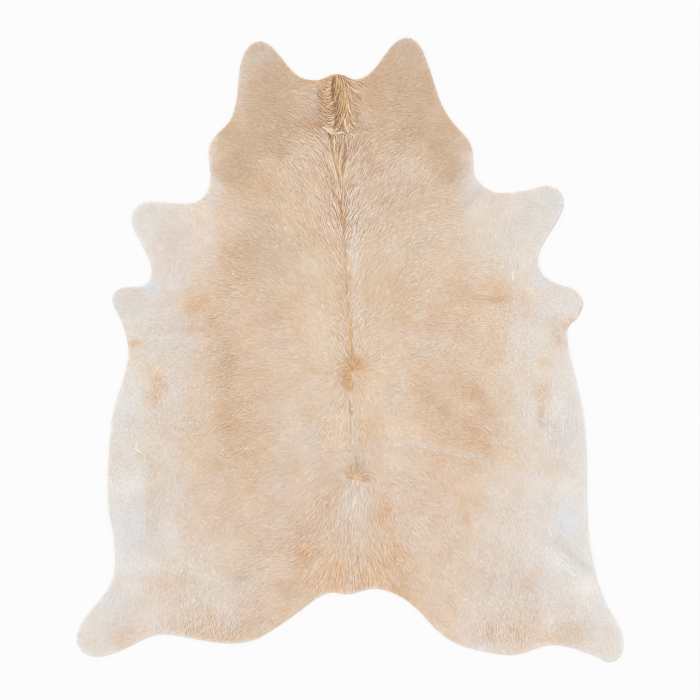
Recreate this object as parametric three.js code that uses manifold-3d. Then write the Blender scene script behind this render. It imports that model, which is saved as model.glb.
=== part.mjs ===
// Cowhide rug: one hair-on hide, trimmed by hand to its natural outline and lying flat on the floor.
// Millimetres. The underside lies on z = 0, the head points to +Y, the hind feet to -Y.
import * as THREE from "three";
import { mergeVertices } from "three/addons/utils/BufferGeometryUtils.js";
import Module from "manifold-3d";

// Driving dimensions
const RUG_LENGTH = 2540; // from the ear tips to the hind toes
const RUG_WIDTH = 2222; // across the hind toes
const BACK_THICKNESS = 6.5; // leather and the hair lying on it, along the back
const EDGE_THICKNESS = 4.5; // the same at the belly, legs and ears, where both are thinner
const THINNING_REACH = 320; // from the edge to where the full thickness is reached

// The cut edge: the leather's own straight cut, with the hair sloping down to it
const EDGE_STEP = 25; // distance between points along the edge
const CURVE_SAMPLES = 4000; // steps in which the edge's length is measured
const CUT_LOW = 1.6; // the straight cut starts at this height
const CUT_HEIGHT = 1.4;
const EDGE_SLOPE = 1.5; // run inwards for each millimetre of height, above and below the cut

// The nets of points that carry the unevenness
const HAIR_NET = 42; // pitch of the net on the hair side
const FLESH_NET = 84; // pitch on the underside, which is flatter
const MERGE_DISTANCE = 1e-4; // points nearer than this are one point

// Landmarks along the cut edge, in hundredths of the rug's width and length from the middle.
// Columns: place, left side across, left side along, right side across, right side along.
const EDGE_LANDMARKS = [
  ["poll hollow", -6.0, 43.2, 0.9, 43.3],
  ["ear foot", -9.3, 43.8, 3.5, 44.2],
  ["ear tip, inner", -14.8, 48.9, 8.4, 49.3],
  ["ear tip", -16.8, 49.4, 10.6, 50.0],
  ["ear tip, outer", -18.7, 48.3, 12.5, 49.0],
  ["ear, outer side", -19.9, 45.8, 14.1, 46.0],
  ["cheek, upper", -20.7, 39.7, 16.7, 39.3],
  ["cheek", -21.7, 36.9, 18.5, 36.7],
  ["jaw corner", -25.5, 32.9, 22.0, 32.9],
  ["throat", -25.4, 27.1, 22.8, 27.7],
  ["throat corner", -26.4, 24.7, 24.2, 26.3],
  ["shoulder", -28.8, 23.5, 26.6, 25.2],
  ["foreleg, front", -35.2, 23.7, 32.6, 25.6],
  ["fore toe, front", -37.4, 23.6, 35.5, 26.3],
  ["fore toe, corner", -39.1, 22.6, 37.9, 25.7],
  ["fore toe", -39.7, 20.7, 39.0, 23.7],
  ["armpit, front", -36.3, 13.9, 35.0, 16.7],
  ["armpit", -36.1, 11.9, 34.2, 14.4],
  ["armpit, rear", -37.5, 10.3, 35.1, 12.2],
  ["elbow, front", -40.3, 10.1, 37.7, 10.6],
  ["elbow, corner", -42.5, 9.6, 40.8, 9.7],
  ["elbow tip", -43.3, 8.0, 42.5, 7.7],
  ["elbow, rear", -42.0, 5.4, 41.5, 5.3],
  ["flank hollow, front", -40.7, 2.1, 39.7, 3.7],
  ["flank hollow", -40.4, -1.3, 39.7, 1.1],
  ["belly", -43.3, -10.9, 42.7, -11.2],
  ["flank", -44.0, -25.3, 43.3, -27.2],
  ["stifle, front", -42.9, -30.4, 43.8, -32.4],
  ["stifle, rear", -43.4, -37.0, 46.2, -39.6],
  ["hind leg", -48.6, -43.3, 49.4, -44.9],
  ["hind toe, front", -49.8, -46.2, 49.8, -47.0],
  ["hind toe", -48.8, -48.2, 49.1, -49.1],
  ["hind toe, rear", -46.0, -49.0, 47.3, -49.9],
  ["hock", -42.1, -48.1, 44.5, -48.7],
  ["thigh hollow", -34.8, -45.4, 37.0, -47.1],
  ["thigh", -26.9, -46.3, 29.7, -48.7],
  ["rump bulge", -22.0, -46.8, 23.8, -48.0],
  ["rump", -17.4, -46.2, 19.2, -46.8],
  ["rump, rear", -13.4, -44.3, 15.6, -44.5],
  ["tail, side", -9.2, -41.7, 11.9, -41.1],
  ["tail corner", -6.2, -39.7, 8.2, -38.9],
  ["tail foot", -3.7, -38.7, 4.2, -38.1],
];
const POLL = [-2.4, 44.2]; // the point between the ears
const TAIL = [-0.4, -39.0]; // the point where the tail was trimmed off

// Low folds where the leather doesn't lie quite flat, so that both of its faces rise.
// Columns: place, from across, from along, to across, to along, half width in mm, height in mm.
const FOLDS = [
  ["left elbow crease", -36.5, 2.9, -26.5, 3.7, 95, 3.0],
  ["left flank curl", -39.5, -11.0, -37.5, -17.5, 110, 4.5],
  ["left stifle fold", -37.5, -24.5, -38.5, -31.0, 120, 5.0],
  ["left thigh, along the edge", -31.0, -43.5, -20.0, -44.5, 110, 3.0],
  ["left foreleg", -37.0, 21.0, -33.0, 17.0, 105, 3.5],
  ["right elbow crease", 29.5, 7.5, 36.0, 5.0, 100, 3.5],
  ["right flank curl", 37.5, -12.0, 39.0, -17.5, 110, 4.5],
  ["right stifle fold", 36.5, -26.0, 41.5, -34.0, 125, 6.0],
  ["right hind leg", 41.5, -42.0, 45.5, -46.0, 120, 4.0],
  ["right foreleg", 33.0, 22.5, 36.5, 21.0, 105, 3.0],
];

// Ridges of longer or meeting hair, on the hair side alone. The columns are those of FOLDS.
const RIDGES = [
  ["crest of the neck", -2.3, 43.0, -1.8, 35.5, 75, 3.0],
  ["meeting line behind the crest", -4.5, 35.2, 1.5, 34.8, 60, 1.5],
  ["withers", -1.8, 35.0, -1.2, 16.0, 70, 1.6],
  ["back", -1.2, 16.0, -0.2, -3.5, 70, 1.3],
  ["front whorl", -0.6, -3.0, 0.4, -4.0, 80, 1.5],
  ["loin", -0.2, -3.5, 0.9, -19.5, 80, 1.2],
  ["rear whorl", 0.6, -19.0, 1.2, -20.5, 80, 1.8],
  ["croup", 0.9, -20.0, 0.8, -37.5, 110, 1.4],
];

const HIDE_FINISH = { color: 0xe3ccb2, roughness: 0.88, metalness: 0 };

const millimetres = (across, along) =>
  new THREE.Vector3((across / 100) * RUG_WIDTH, (along / 100) * RUG_LENGTH, 0);

// The cut edge as an even row of points, stretched to exactly the rug's length and width
function edgePoints() {
  const left = EDGE_LANDMARKS.map(([, across, along]) => millimetres(across, along));
  const right = EDGE_LANDMARKS.map(([, , , across, along]) => millimetres(across, along));
  const landmarks = [millimetres(...POLL), ...left, millimetres(...TAIL), ...right.toReversed()];
  const curve = new THREE.CatmullRomCurve3(landmarks, true, "centripetal");
  curve.arcLengthDivisions = CURVE_SAMPLES;
  const points = curve.getSpacedPoints(Math.round(curve.getLength() / EDGE_STEP)).slice(1);
  const box = new THREE.Box3().setFromPoints(points);
  const middle = box.getCenter(new THREE.Vector3());
  const size = box.getSize(new THREE.Vector3());
  return points.map((p) => new THREE.Vector2(
    ((p.x - middle.x) * RUG_WIDTH) / size.x,
    ((p.y - middle.y) * RUG_LENGTH) / size.y,
  ));
}

// Distance from a point to the straight line between two others
function distanceToLine(x, y, a, b) {
  const run = new THREE.Vector2().subVectors(b, a);
  const share = ((x - a.x) * run.x + (y - a.y) * run.y) / run.lengthSq();
  const held = THREE.MathUtils.clamp(share, 0, 1);
  return Math.hypot(x - a.x - held * run.x, y - a.y - held * run.y);
}

function distanceToEdge(x, y, edge) {
  return Math.min(...edge.map((p, i) => distanceToLine(x, y, p, edge[(i + 1) % edge.length])));
}

// Height at a point of a table's soft, long mounds
function moundHeight(x, y, table) {
  return table.reduce((sum, [, fromAcross, fromAlong, toAcross, toAlong, halfWidth, height]) => {
    const from = millimetres(fromAcross, fromAlong);
    const to = millimetres(toAcross, toAlong);
    const share = Math.min(distanceToLine(x, y, from, to) / halfWidth, 1);
    return sum + height * (1 - share ** 2) ** 2;
  }, 0);
}

function thicknessAt(x, y, edge) {
  const reach = THREE.MathUtils.smoothstep(distanceToEdge(x, y, edge), 0, THINNING_REACH);
  const plain = THREE.MathUtils.lerp(EDGE_THICKNESS, BACK_THICKNESS, reach);
  return plain + moundHeight(x, y, RIDGES);
}

const wasm = await Module();
wasm.setup();

function asSolid(geometry) {
  geometry.deleteAttribute("normal");
  geometry.deleteAttribute("uv");
  const merged = mergeVertices(geometry, MERGE_DISTANCE);
  return new wasm.Manifold(new wasm.Mesh({
    numProp: 3,
    vertProperties: new Float32Array(merged.attributes.position.array),
    triVerts: new Uint32Array(merged.index.array),
  }));
}

// A layer of the flat blank, from one height to another, whose faces carry a square net of points
function netLayer(pitch, low, high) {
  const width = RUG_WIDTH + 2 * pitch;
  const length = RUG_LENGTH + 2 * pitch;
  const layer = new THREE.BoxGeometry(
    width, length, high - low, Math.round(width / pitch), Math.round(length / pitch), 1,
  );
  return asSolid(layer.translate(0, 0, (low + high) / 2));
}

// The outline as a cutter: straight at the cut and sloping in above and below it, past both faces of the blank
function outlineCutter(edge) {
  const inset = EDGE_SLOPE * BACK_THICKNESS;
  const cutter = new THREE.ExtrudeGeometry(new THREE.Shape(edge), {
    depth: CUT_HEIGHT,
    bevelSegments: 1,
    bevelThickness: BACK_THICKNESS,
    bevelSize: inset,
    bevelOffset: -inset,
  });
  return asSolid(cutter.translate(0, 0, CUT_LOW));
}

// The flat blank, cut to the outline and then laid over its folds, with its real thickness
function hideGeometry() {
  const edge = edgePoints();
  const half = BACK_THICKNESS / 2;
  const blank = netLayer(FLESH_NET, 0, half).add(netLayer(HAIR_NET, half, BACK_THICKNESS));
  const mesh = blank.intersect(outlineCutter(edge)).getMesh();
  const positions = new Float32Array(mesh.vertProperties);
  for (let i = 0; i < positions.length; i += 3) {
    const [x, y, flatHeight] = positions.slice(i, i + 3);
    const share = flatHeight / BACK_THICKNESS;
    positions[i + 2] = moundHeight(x, y, FOLDS) + share * thicknessAt(x, y, edge);
  }
  const geometry = new THREE.BufferGeometry();
  geometry.setAttribute("position", new THREE.BufferAttribute(positions, 3));
  geometry.setIndex(new THREE.BufferAttribute(new Uint32Array(mesh.triVerts), 1));
  geometry.computeVertexNormals();
  return geometry;
}

const hide = new THREE.Mesh(hideGeometry(), new THREE.MeshStandardMaterial(HIDE_FINISH));
hide.name = "hide";

const rug = new THREE.Group();
rug.add(hide);

export default rug;
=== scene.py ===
# %% [markdown]
# A cowhide rug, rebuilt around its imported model.
# The rug is one hide: a sheet of leather, cut by hand to the animal's own outline, with the hair left on.
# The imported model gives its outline, its size and the height that the hair reaches.
# Here it gets its looks: a leather sheet with a suede underside, and on it a coat of real locks of hair,
# each a small piece of geometry, combed the way the hair grows on the animal.

import math

import bmesh
import bpy
import numpy as np
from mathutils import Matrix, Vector
from mathutils.bvhtree import BVHTree


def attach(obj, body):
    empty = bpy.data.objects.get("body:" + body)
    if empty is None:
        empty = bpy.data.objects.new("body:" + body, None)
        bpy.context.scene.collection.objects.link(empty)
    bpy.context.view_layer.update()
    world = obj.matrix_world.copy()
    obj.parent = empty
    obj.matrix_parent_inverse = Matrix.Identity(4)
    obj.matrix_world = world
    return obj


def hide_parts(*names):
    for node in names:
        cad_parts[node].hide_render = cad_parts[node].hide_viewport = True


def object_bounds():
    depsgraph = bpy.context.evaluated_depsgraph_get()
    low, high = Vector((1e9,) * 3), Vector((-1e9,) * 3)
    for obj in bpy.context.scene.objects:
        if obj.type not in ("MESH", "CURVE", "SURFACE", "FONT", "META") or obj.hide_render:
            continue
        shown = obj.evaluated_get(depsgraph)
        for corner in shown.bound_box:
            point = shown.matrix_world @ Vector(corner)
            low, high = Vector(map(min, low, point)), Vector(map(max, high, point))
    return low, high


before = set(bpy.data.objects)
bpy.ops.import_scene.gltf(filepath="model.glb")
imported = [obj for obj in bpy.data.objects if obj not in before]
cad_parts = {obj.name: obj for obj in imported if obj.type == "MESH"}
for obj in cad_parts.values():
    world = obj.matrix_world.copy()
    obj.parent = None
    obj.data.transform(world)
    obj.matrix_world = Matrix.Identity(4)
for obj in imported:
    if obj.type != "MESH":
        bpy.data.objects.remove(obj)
cad_low, cad_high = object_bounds()
RUG_WIDTH, RUG_LENGTH, RUG_HEIGHT = cad_high - cad_low
print(f"the rug is {RUG_WIDTH:.3f} m wide, {RUG_LENGTH:.3f} m long and {RUG_HEIGHT * 1000:.1f} mm high")

# %% [markdown]
# Everything on a hide has its place by the animal: outwards from the line of the spine, and along it.
# The tables below give places in hundredths of the rug's width and length from its middle, across and
# then along, so they keep their place if the rug is made in another size.
# The spine isn't quite straight, as on every hide, so a few points say where it runs.

# %% Places on the hide
SPINE = [(0.7, -39.0), (0.7, -19.2), (0.3, -3.5), (-1.3, 16.0), (-1.8, 35.3), (-2.4, 44.2)]
TINY = 1e-6  # the least length to divide by


def place(across, along):
    """A point of the rug in metres, from hundredths of its width and length."""
    return np.array([across * RUG_WIDTH, along * RUG_LENGTH]) / 100


def spine_at(along):
    """How far across the spine runs at these distances along the rug, in metres."""
    x, y = np.transpose([place(*point) for point in SPINE])
    return np.interp(along, y, x)


def from_spine(points):
    """Distance out from the spine, and the side: -1 left of it, 1 right of it."""
    off = points[:, 0] - spine_at(points[:, 1])
    return np.abs(off), np.where(off < 0, -1.0, 1.0)


def ease(x):
    """A smooth step from 0 to 1."""
    x = np.clip(x, 0, 1)
    return x * x * (3 - 2 * x)


def mix(start, end, share):
    """Part of the way from one value to another."""
    return start * (1 - share) + end * share


def left_of(way):
    """The same steps, turned a quarter to the left."""
    return np.stack([-way[..., 1], way[..., 0]], -1)


def turned(way, angle):
    """The same steps, turned to the left by an angle."""
    return way * np.cos(angle) + left_of(way) * np.sin(angle)


bend = max(abs(place(*point)[0]) for point in SPINE)
print(f"the spine runs up to {bend * 1000:.0f} mm beside the middle")

# %% [markdown]
# The camera looks straight down at the rug, as a shop's photograph of a hide does.
# A long lens from far up keeps the edges from leaning. The frame is a little larger than the rug.

# %% Camera
FRAME_SIZE = 2.8494  # what the picture takes in, each way, in metres
LENS = 85.0  # focal length in mm
SENSOR = 36.0


def add_object(name, data):
    """A new object in the scene, made of this data."""
    added = bpy.data.objects.new(name, data)
    bpy.context.scene.collection.objects.link(added)
    return added


camera_data = bpy.data.cameras.new("camera")
camera_data.lens = LENS
camera_data.sensor_width = SENSOR
camera = add_object("camera", camera_data)
camera.location = (0, 0, FRAME_SIZE * LENS / SENSOR)
bpy.context.scene.camera = camera
print(f"the camera hangs {camera.location.z:.2f} m above the rug")

# %% [markdown]
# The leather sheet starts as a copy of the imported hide, whose solid reaches up to the tips of the hair.
# Its points are merged, the net on it is made finer, and its upper face is then lowered by the depth
# of the coat, so that 2 to 3 mm of leather are left. Lowering the real solid keeps the outline exact.
# Two copies of the hide stay at hand as trees for ray casts: one for the hair's reach, one for the leather.

# %% Leather sheet
LEATHER = 0.0026  # thickness in metres
NET_CUTS = 1
MERGE_DISTANCE = 1e-6
CUT_SLOPE = 0.05  # the normal of a face of the straight cut rises less than this
HAIR_SIDE_SLOPE = 0.3  # and that of a face of the hair side more than this
UNDER_THE_RUG, OVER_THE_RUG = -0.1, 1  # where rays start
DOWN, UP = Vector((0, 0, -1)), Vector((0, 0, 1))

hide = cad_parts["hide"]
net = bmesh.new()
net.from_mesh(hide.data)
bmesh.ops.remove_doubles(net, verts=net.verts, dist=MERGE_DISTANCE)
coat_tree = BVHTree.FromBMesh(net)
cut_rows = [
    [vert.co.xy for vert in edge.verts]
    for edge in net.edges
    if len(edge.link_faces) == 2
    and min(abs(face.normal.z) for face in edge.link_faces) < CUT_SLOPE
    and max(face.normal.z for face in edge.link_faces) > HAIR_SIDE_SLOPE
]
cut_edge = np.array(cut_rows)
print(f"the cut edge has {len(cut_edge)} straight steps")

bmesh.ops.subdivide_edges(net, edges=net.edges, cuts=NET_CUTS, use_grid_fill=True)
for vert in net.verts:
    under = coat_tree.ray_cast(Vector((vert.co.x, vert.co.y, UNDER_THE_RUG)), UP)[0]
    if under is not None:
        vert.co.z = min(vert.co.z, under.z + LEATHER)
bmesh.ops.triangulate(net, faces=net.faces)
leather_tree = BVHTree.FromBMesh(net)
sheet_data = bpy.data.meshes.new("leather_sheet")
net.to_mesh(sheet_data)
net.free()
sheet = add_object("leather_sheet", sheet_data)
sheet_data.shade_smooth()
print(f"the leather sheet has {len(sheet_data.polygons)} triangles")

# %% [markdown]
# The locks have to know where the leather is, how high the coat may stand and how near the edge is.
# Asking that for each of some hundred thousand locks would be slow, so it is measured once on a net
# of points 10 mm apart. Such a chart is then read between its points.

# %% Charts of the hide
CHART_PITCH = 0.01
CHART_MARGIN = 0.05  # by how much the charts are larger than the rug all round

chart_x = np.arange(cad_low.x - CHART_MARGIN, cad_high.x + CHART_MARGIN, CHART_PITCH)
chart_y = np.arange(cad_low.y - CHART_MARGIN, cad_high.y + CHART_MARGIN, CHART_PITCH)


def read_net(net, column, row, x, y):
    """The values of a net at shares of the way across and up from one of its points to the next."""
    low = mix(net[row, column], net[row, column + 1], x)
    high = mix(net[row + 1, column], net[row + 1, column + 1], x)
    return mix(low, high, y)


def read_chart(chart, points):
    """The chart's values at these points."""
    x = np.clip((points[:, 0] - chart_x[0]) / CHART_PITCH, 0, len(chart_x) - 1.001)
    y = np.clip((points[:, 1] - chart_y[0]) / CHART_PITCH, 0, len(chart_y) - 1.001)
    column, row = x.astype(int), y.astype(int)
    return read_net(chart, column, row, x - column, y - row)


def edge_gap(points):
    """Distance from each point to the cut edge, negative outside it."""
    nearest = np.full(len(points), np.inf)
    crossings = np.zeros(len(points), int)
    x, y = points.T
    for (ax, ay), (bx, by) in cut_edge:
        run_x, run_y = bx - ax, by - ay
        share = np.clip(((x - ax) * run_x + (y - ay) * run_y) / (run_x**2 + run_y**2), 0, 1)
        nearest = np.minimum(nearest, (x - ax - share * run_x) ** 2 + (y - ay - share * run_y) ** 2)
        if ay != by:
            crossings += ((ay > y) != (by > y)) & (x < ax + (y - ay) * run_x / run_y)
    return np.sqrt(nearest) * np.where(crossings % 2, 1, -1)


def height_chart(tree):
    """The height of the top of a surface. Past its edge the nearest measured height goes on."""
    chart = np.full((len(chart_y), len(chart_x)), np.nan)
    for row, y in enumerate(chart_y):
        for column, x in enumerate(chart_x):
            hit = tree.ray_cast(Vector((x, y, OVER_THE_RUG)), DOWN)[0]
            if hit is not None:
                chart[row, column] = hit.z
    while np.isnan(chart).any():
        around = np.stack([np.roll(chart, step, axis) for step in (1, -1) for axis in (0, 1)])
        known = ~np.isnan(around)
        filled = np.where(known, around, 0).sum(0) / np.maximum(known.sum(0), 1)
        chart = np.where(np.isnan(chart) & known.any(0), filled, chart)
    return chart


chart_points = np.stack(np.meshgrid(chart_x, chart_y), 2).reshape(-1, 2)
gap_chart = edge_gap(chart_points).reshape(len(chart_y), len(chart_x))
leather_chart = height_chart(leather_tree)
coat_chart = height_chart(coat_tree)
leather_top, coat_top = leather_chart.max() * 1000, coat_chart.max() * 1000
print(f"the leather lies at up to {leather_top:.1f} mm, the coat at {coat_top:.1f} mm")

# %% [markdown]
# The tones of this coat run from the rust of its curls to the bluish white of the belly. They are named
# and mixed once, as a painter lays out a palette, and every table below asks for them by name.
# They are written as they look. The render reckons with light itself, so they are turned into that.

# %% Tones of the coat
TONES = {
    "sand": (229, 204, 178),
    "wheat": (230, 210, 187),
    "butter": (236, 216, 193),
    "biscuit": (228, 207, 186),
    "dun": (211, 191, 171),
    "fawn": (212, 186, 159),
    "honey": (210, 174, 133),
    "nut": (176, 122, 74),
    "gold": (226, 190, 146),
    "amber": (228, 184, 134),
    "straw": (232, 205, 165),
    "rust": (216, 170, 128),
    "cream": (231, 216, 200),
    "oyster": (228, 219, 211),
    "pearl": (228, 223, 217),
    "frost": (222, 225, 230),
    "ash": (196, 184, 172),
    "milk": (244, 240, 234),
    "bark": (136, 86, 44),
}


def linear(red, green, blue):
    """A tone as the render reckons with it."""
    tone = np.array([red, green, blue]) / 255
    return np.where(tone <= 0.04045, tone / 12.92, ((tone + 0.055) / 1.055) ** 2.4)


tones = {name: linear(*tone) for name, tone in TONES.items()}
print(f"{len(tones)} tones")

# %% [markdown]
# How the hair lies. On a hide it flows outwards and headwards over the ribs, outwards and tailwards over
# the loin, and turns down along the belly. It starts at two whorls on the spine, and where two
# flows meet it stands up a little. A maker of hair would set some guide hairs by hand and let the rest
# follow the nearest ones, and that is what this table does. Its columns are the place, the distance out
# from the spine, the place along, the lie on the left and on the right side (degrees from straight
# outwards, plus is headwards), the hair's length in mm, its contrast (how much the locks differ) and
# its tone. At the head the crest points tailwards and the hair behind it headwards, so that they meet in
# a collar. The hair of the cheeks lies straight outwards, and that of the ears towards their tips.

# %% Guide hairs of the head and neck
GUIDE_HAIRS = [
    ("poll", 0.6, 43.3, -85, -80, 26, 1.5, "honey"),
    ("crest", 0.8, 40.5, -86, -80, 30, 1.5, "honey"),
    ("crest foot", 0.8, 36.8, -84, -80, 28, 1.5, "honey"),
    ("beside the poll", 4.5, 41.5, 14, -42, 26, 0.95, "fawn"),
    ("beside the crest", 5.0, 37.5, 38, -30, 26, 1.15, "fawn"),
    ("forehead", 9.0, 40.5, 8, 5, 22, 0.65, "fawn"),
    ("ear root", 12.5, 43.5, 30, 35, 16, 0.65, "fawn"),
    ("ear", 13.6, 47.0, 62, 66, 12, 0.7, "dun"),
    ("ear rim", 15.8, 47.0, 50, 55, 11, 0.65, "dun"),
    ("cheek", 15.0, 39.0, -3, -2, 18, 0.6, "fawn"),
    ("cheek rim", 18.5, 38.5, 0, 0, 14, 0.5, "fawn"),
    ("jaw", 21.0, 34.0, 0, 0, 15, 0.6, "fawn"),
    ("throat", 21.0, 28.5, 10, 18, 15, 0.6, "fawn"),
    ("jaw rim", 23.5, 32.5, 0, 0, 13, 0.4, "cream"),
    ("throat rim", 24.5, 27.0, 0, 2, 13, 0.4, "oyster"),
    ("behind the crest", 1.0, 33.2, 76, 76, 30, 1.9, "wheat"),
    ("neck by the spine", 1.2, 29.5, 74, 72, 28, 2.1, "wheat"),
    ("neck", 5.0, 32.0, 45, 42, 26, 1.2, "sand"),
    ("neck", 5.5, 28.0, 60, 50, 26, 1.25, "wheat"),
    ("neck side", 11.0, 33.0, 22, 32, 22, 0.85, "fawn"),
    ("neck side", 12.0, 28.5, 46, 54, 22, 0.85, "sand"),
    ("neck rim", 17.5, 30.0, 28, 46, 18, 0.8, "fawn"),
]
print(f"{len(GUIDE_HAIRS)} guide hairs on the head and neck")

# %% [markdown]
# From the withers to the front whorl the hair by the spine points headwards. Over the ribs it turns
# outwards, and at the flanks it runs down along the edge.

# %% Guide hairs of the shoulders and ribs
GUIDE_HAIRS += [
    ("withers by the spine", 1.2, 22.0, 74, 68, 26, 2.0, "butter"),
    ("withers", 5.5, 22.5, 62, 53, 25, 1.1, "wheat"),
    ("shoulder blade", 12.0, 22.0, 40, 42, 23, 0.9, "wheat"),
    ("shoulder", 19.0, 22.0, 12, -2, 20, 0.7, "sand"),
    ("shoulder point", 25.5, 20.5, 60, 82, 17, 0.5, "cream"),
    ("foreleg", 31.0, 19.0, 25, 78, 14, 0.4, "oyster"),
    ("fore toe", 36.5, 21.0, 0, 4, 12, 0.3, "pearl"),
    ("back by the spine", 1.2, 12.0, 62, 72, 25, 1.15, "butter"),
    ("ribs", 5.5, 12.0, 56, 60, 24, 0.6, "wheat"),
    ("ribs", 12.0, 11.5, 26, 42, 22, 0.6, "wheat"),
    ("low ribs", 19.0, 11.0, -2, 6, 20, 0.45, "sand"),
    ("behind the elbow", 26.0, 11.5, -14, -15, 17, 0.4, "cream"),
    ("armpit", 32.5, 12.5, -84, -80, 14, 0.35, "oyster"),
    ("elbow", 36.0, 7.5, 6, -60, 13, 0.4, "oyster"),
    ("elbow tip", 41.0, 8.0, -6, -4, 12, 0.3, "oyster"),
    ("back by the spine", 1.2, 2.5, 66, 72, 24, 1.25, "butter"),
    ("ribs", 5.5, 2.5, 50, 38, 23, 0.5, "wheat"),
    ("ribs", 12.0, 2.5, 6, 8, 22, 0.56, "sand"),
    ("low ribs", 19.0, 2.5, -3, -7, 20, 0.42, "sand"),
    ("flank", 26.0, 2.5, -34, -28, 17, 0.4, "wheat"),
    ("flank", 32.0, 2.5, -36, -65, 14, 0.4, "oyster"),
    ("flank hollow", 37.5, 1.5, -70, -80, 12, 0.3, "oyster"),
]
print(f"{len(GUIDE_HAIRS)} guide hairs down to the front whorl")

# %% [markdown]
# Behind the front whorl the hair by the spine points tailwards. Over the loin it lies outwards, and at
# the belly it turns down. Only right before the rear whorl does it point headwards again.

# %% Guide hairs of the loin and belly
GUIDE_HAIRS += [
    ("loin by the spine", 0.9, -9.0, -76, -76, 24, 0.8, "butter"),
    ("loin", 3.5, -8.0, -60, -66, 24, 0.5, "wheat"),
    ("loin", 8.0, -8.0, -6, -18, 22, 0.4, "wheat"),
    ("flank", 14.0, -8.0, 1, 0, 21, 0.4, "sand"),
    ("flank", 20.0, -8.0, -22, -26, 19, 0.5, "sand"),
    ("low flank", 27.0, -8.0, -44, -53, 16, 0.4, "wheat"),
    ("low flank", 33.5, -8.0, -72, -82, 13, 0.4, "cream"),
    ("belly", 40.0, -8.0, -84, -88, 11, 0.32, "pearl"),
    ("loin by the spine", 0.9, -13.8, -82, -82, 24, 0.8, "butter"),
    ("loin", 9.0, -15.0, -42, -34, 22, 0.4, "wheat"),
    ("flank", 15.5, -15.0, -15, -22, 20, 0.55, "sand"),
    ("flank", 21.5, -15.0, -25, -34, 18, 0.6, "sand"),
    ("low flank", 28.5, -15.0, -50, -60, 15, 0.5, "wheat"),
    ("low flank", 34.5, -15.0, -74, -78, 13, 0.4, "cream"),
    ("before the rear whorl", 0.9, -17.6, 78, 78, 22, 0.6, "biscuit"),
    ("beside the rear whorl", 4.0, -17.5, -38, -48, 23, 0.45, "biscuit"),
]
print(f"{len(GUIDE_HAIRS)} guide hairs down to the rear whorl")

# %% [markdown]
# On the croup the hair runs down the middle to the tail. Further out it slants over the hips and the
# thighs, down to the hind toes.

# %% Guide hairs of the croup and hind legs
GUIDE_HAIRS += [
    ("croup by the spine", 1.0, -24.0, -84, -84, 26, 0.6, "cream"),
    ("croup", 4.0, -24.0, -64, -66, 26, 1.0, "biscuit"),
    ("hip", 8.5, -22.5, -40, -38, 24, 0.55, "biscuit"),
    ("hip", 14.5, -22.0, -26, -38, 21, 0.55, "biscuit"),
    ("thigh front", 21.0, -22.0, -29, -54, 19, 0.5, "sand"),
    ("low flank", 27.5, -22.0, -35, -60, 16, 0.4, "cream"),
    ("low flank", 34.0, -22.0, -60, -70, 13, 0.4, "oyster"),
    ("belly", 41.0, -22.0, -84, -84, 11, 0.25, "pearl"),
    ("croup by the spine", 1.0, -31.0, -88, -88, 26, 0.8, "biscuit"),
    ("croup", 4.0, -31.0, -66, -71, 26, 1.0, "biscuit"),
    ("rump", 9.0, -31.0, -38, -50, 24, 0.95, "biscuit"),
    ("rump", 15.0, -31.0, -19, -54, 22, 0.65, "biscuit"),
    ("thigh", 22.0, -31.0, -31, -67, 19, 0.5, "wheat"),
    ("thigh", 29.0, -31.0, -66, -74, 16, 0.5, "cream"),
    ("stifle", 36.0, -31.0, -78, -72, 13, 0.3, "oyster"),
    ("stifle rim", 42.0, -32.0, -86, -86, 11, 0.2, "pearl"),
    ("rump", 14.0, -35.5, -4, -48, 22, 0.6, "biscuit"),
    ("thigh", 21.5, -36.5, -32, -64, 18, 0.6, "wheat"),
    ("thigh", 29.0, -37.0, -78, -84, 16, 0.55, "cream"),
    ("tail foot", 1.2, -37.0, -90, -90, 24, 1.2, "biscuit"),
    ("tail side", 5.0, -37.5, -78, -78, 24, 1.2, "biscuit"),
    ("buttock", 10.5, -39.0, -28, -36, 22, 0.8, "biscuit"),
    ("buttock", 17.0, -41.0, -31, -42, 20, 0.8, "biscuit"),
    ("thigh rear", 23.5, -42.5, -70, -72, 17, 0.6, "wheat"),
    ("thigh rear", 30.0, -42.0, -84, -78, 15, 0.6, "cream"),
    ("hind leg", 36.0, -41.0, -84, -84, 13, 0.4, "oyster"),
    ("hind leg", 42.0, -43.0, -66, -66, 12, 0.5, "oyster"),
    ("hind toe", 47.5, -46.5, -52, -52, 11, 0.45, "pearl"),
]
print(f"{len(GUIDE_HAIRS)} guide hairs in all")

# %% [markdown]
# Between the guide hairs the lie is their mean, in which near ones count most. At the two whorls it
# is bent into spokes. The columns are the place, across, along, the whorl's reach in mm and by how many
# degrees its spokes are turned.

# %% Whorls and the lie between the guide hairs
WHORLS = [
    ("front whorl", 0.37, -3.6, 30, 14),
    ("rear whorl", 0.75, -20.0, 26, -12),
]
GUIDE_REACH = 0.03  # how far a guide hair's neighbours follow it exactly
SPINE_BLEND = 0.012  # how far from the spine the two sides still meet

_, *guide_columns, guide_tones = zip(*GUIDE_HAIRS)
guide_out, guide_along, guide_left, guide_right, guide_length, guide_contrast = np.array(guide_columns)
guide_places = np.stack([guide_out * RUG_WIDTH, guide_along * RUG_LENGTH], 1) / 100
guide_left, guide_right = np.radians(guide_left), np.radians(guide_right)
guide_length = guide_length / 1000
guide_tone = np.array([tones[tone] for tone in guide_tones])
print(f"{len(WHORLS)} whorls")


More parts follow.
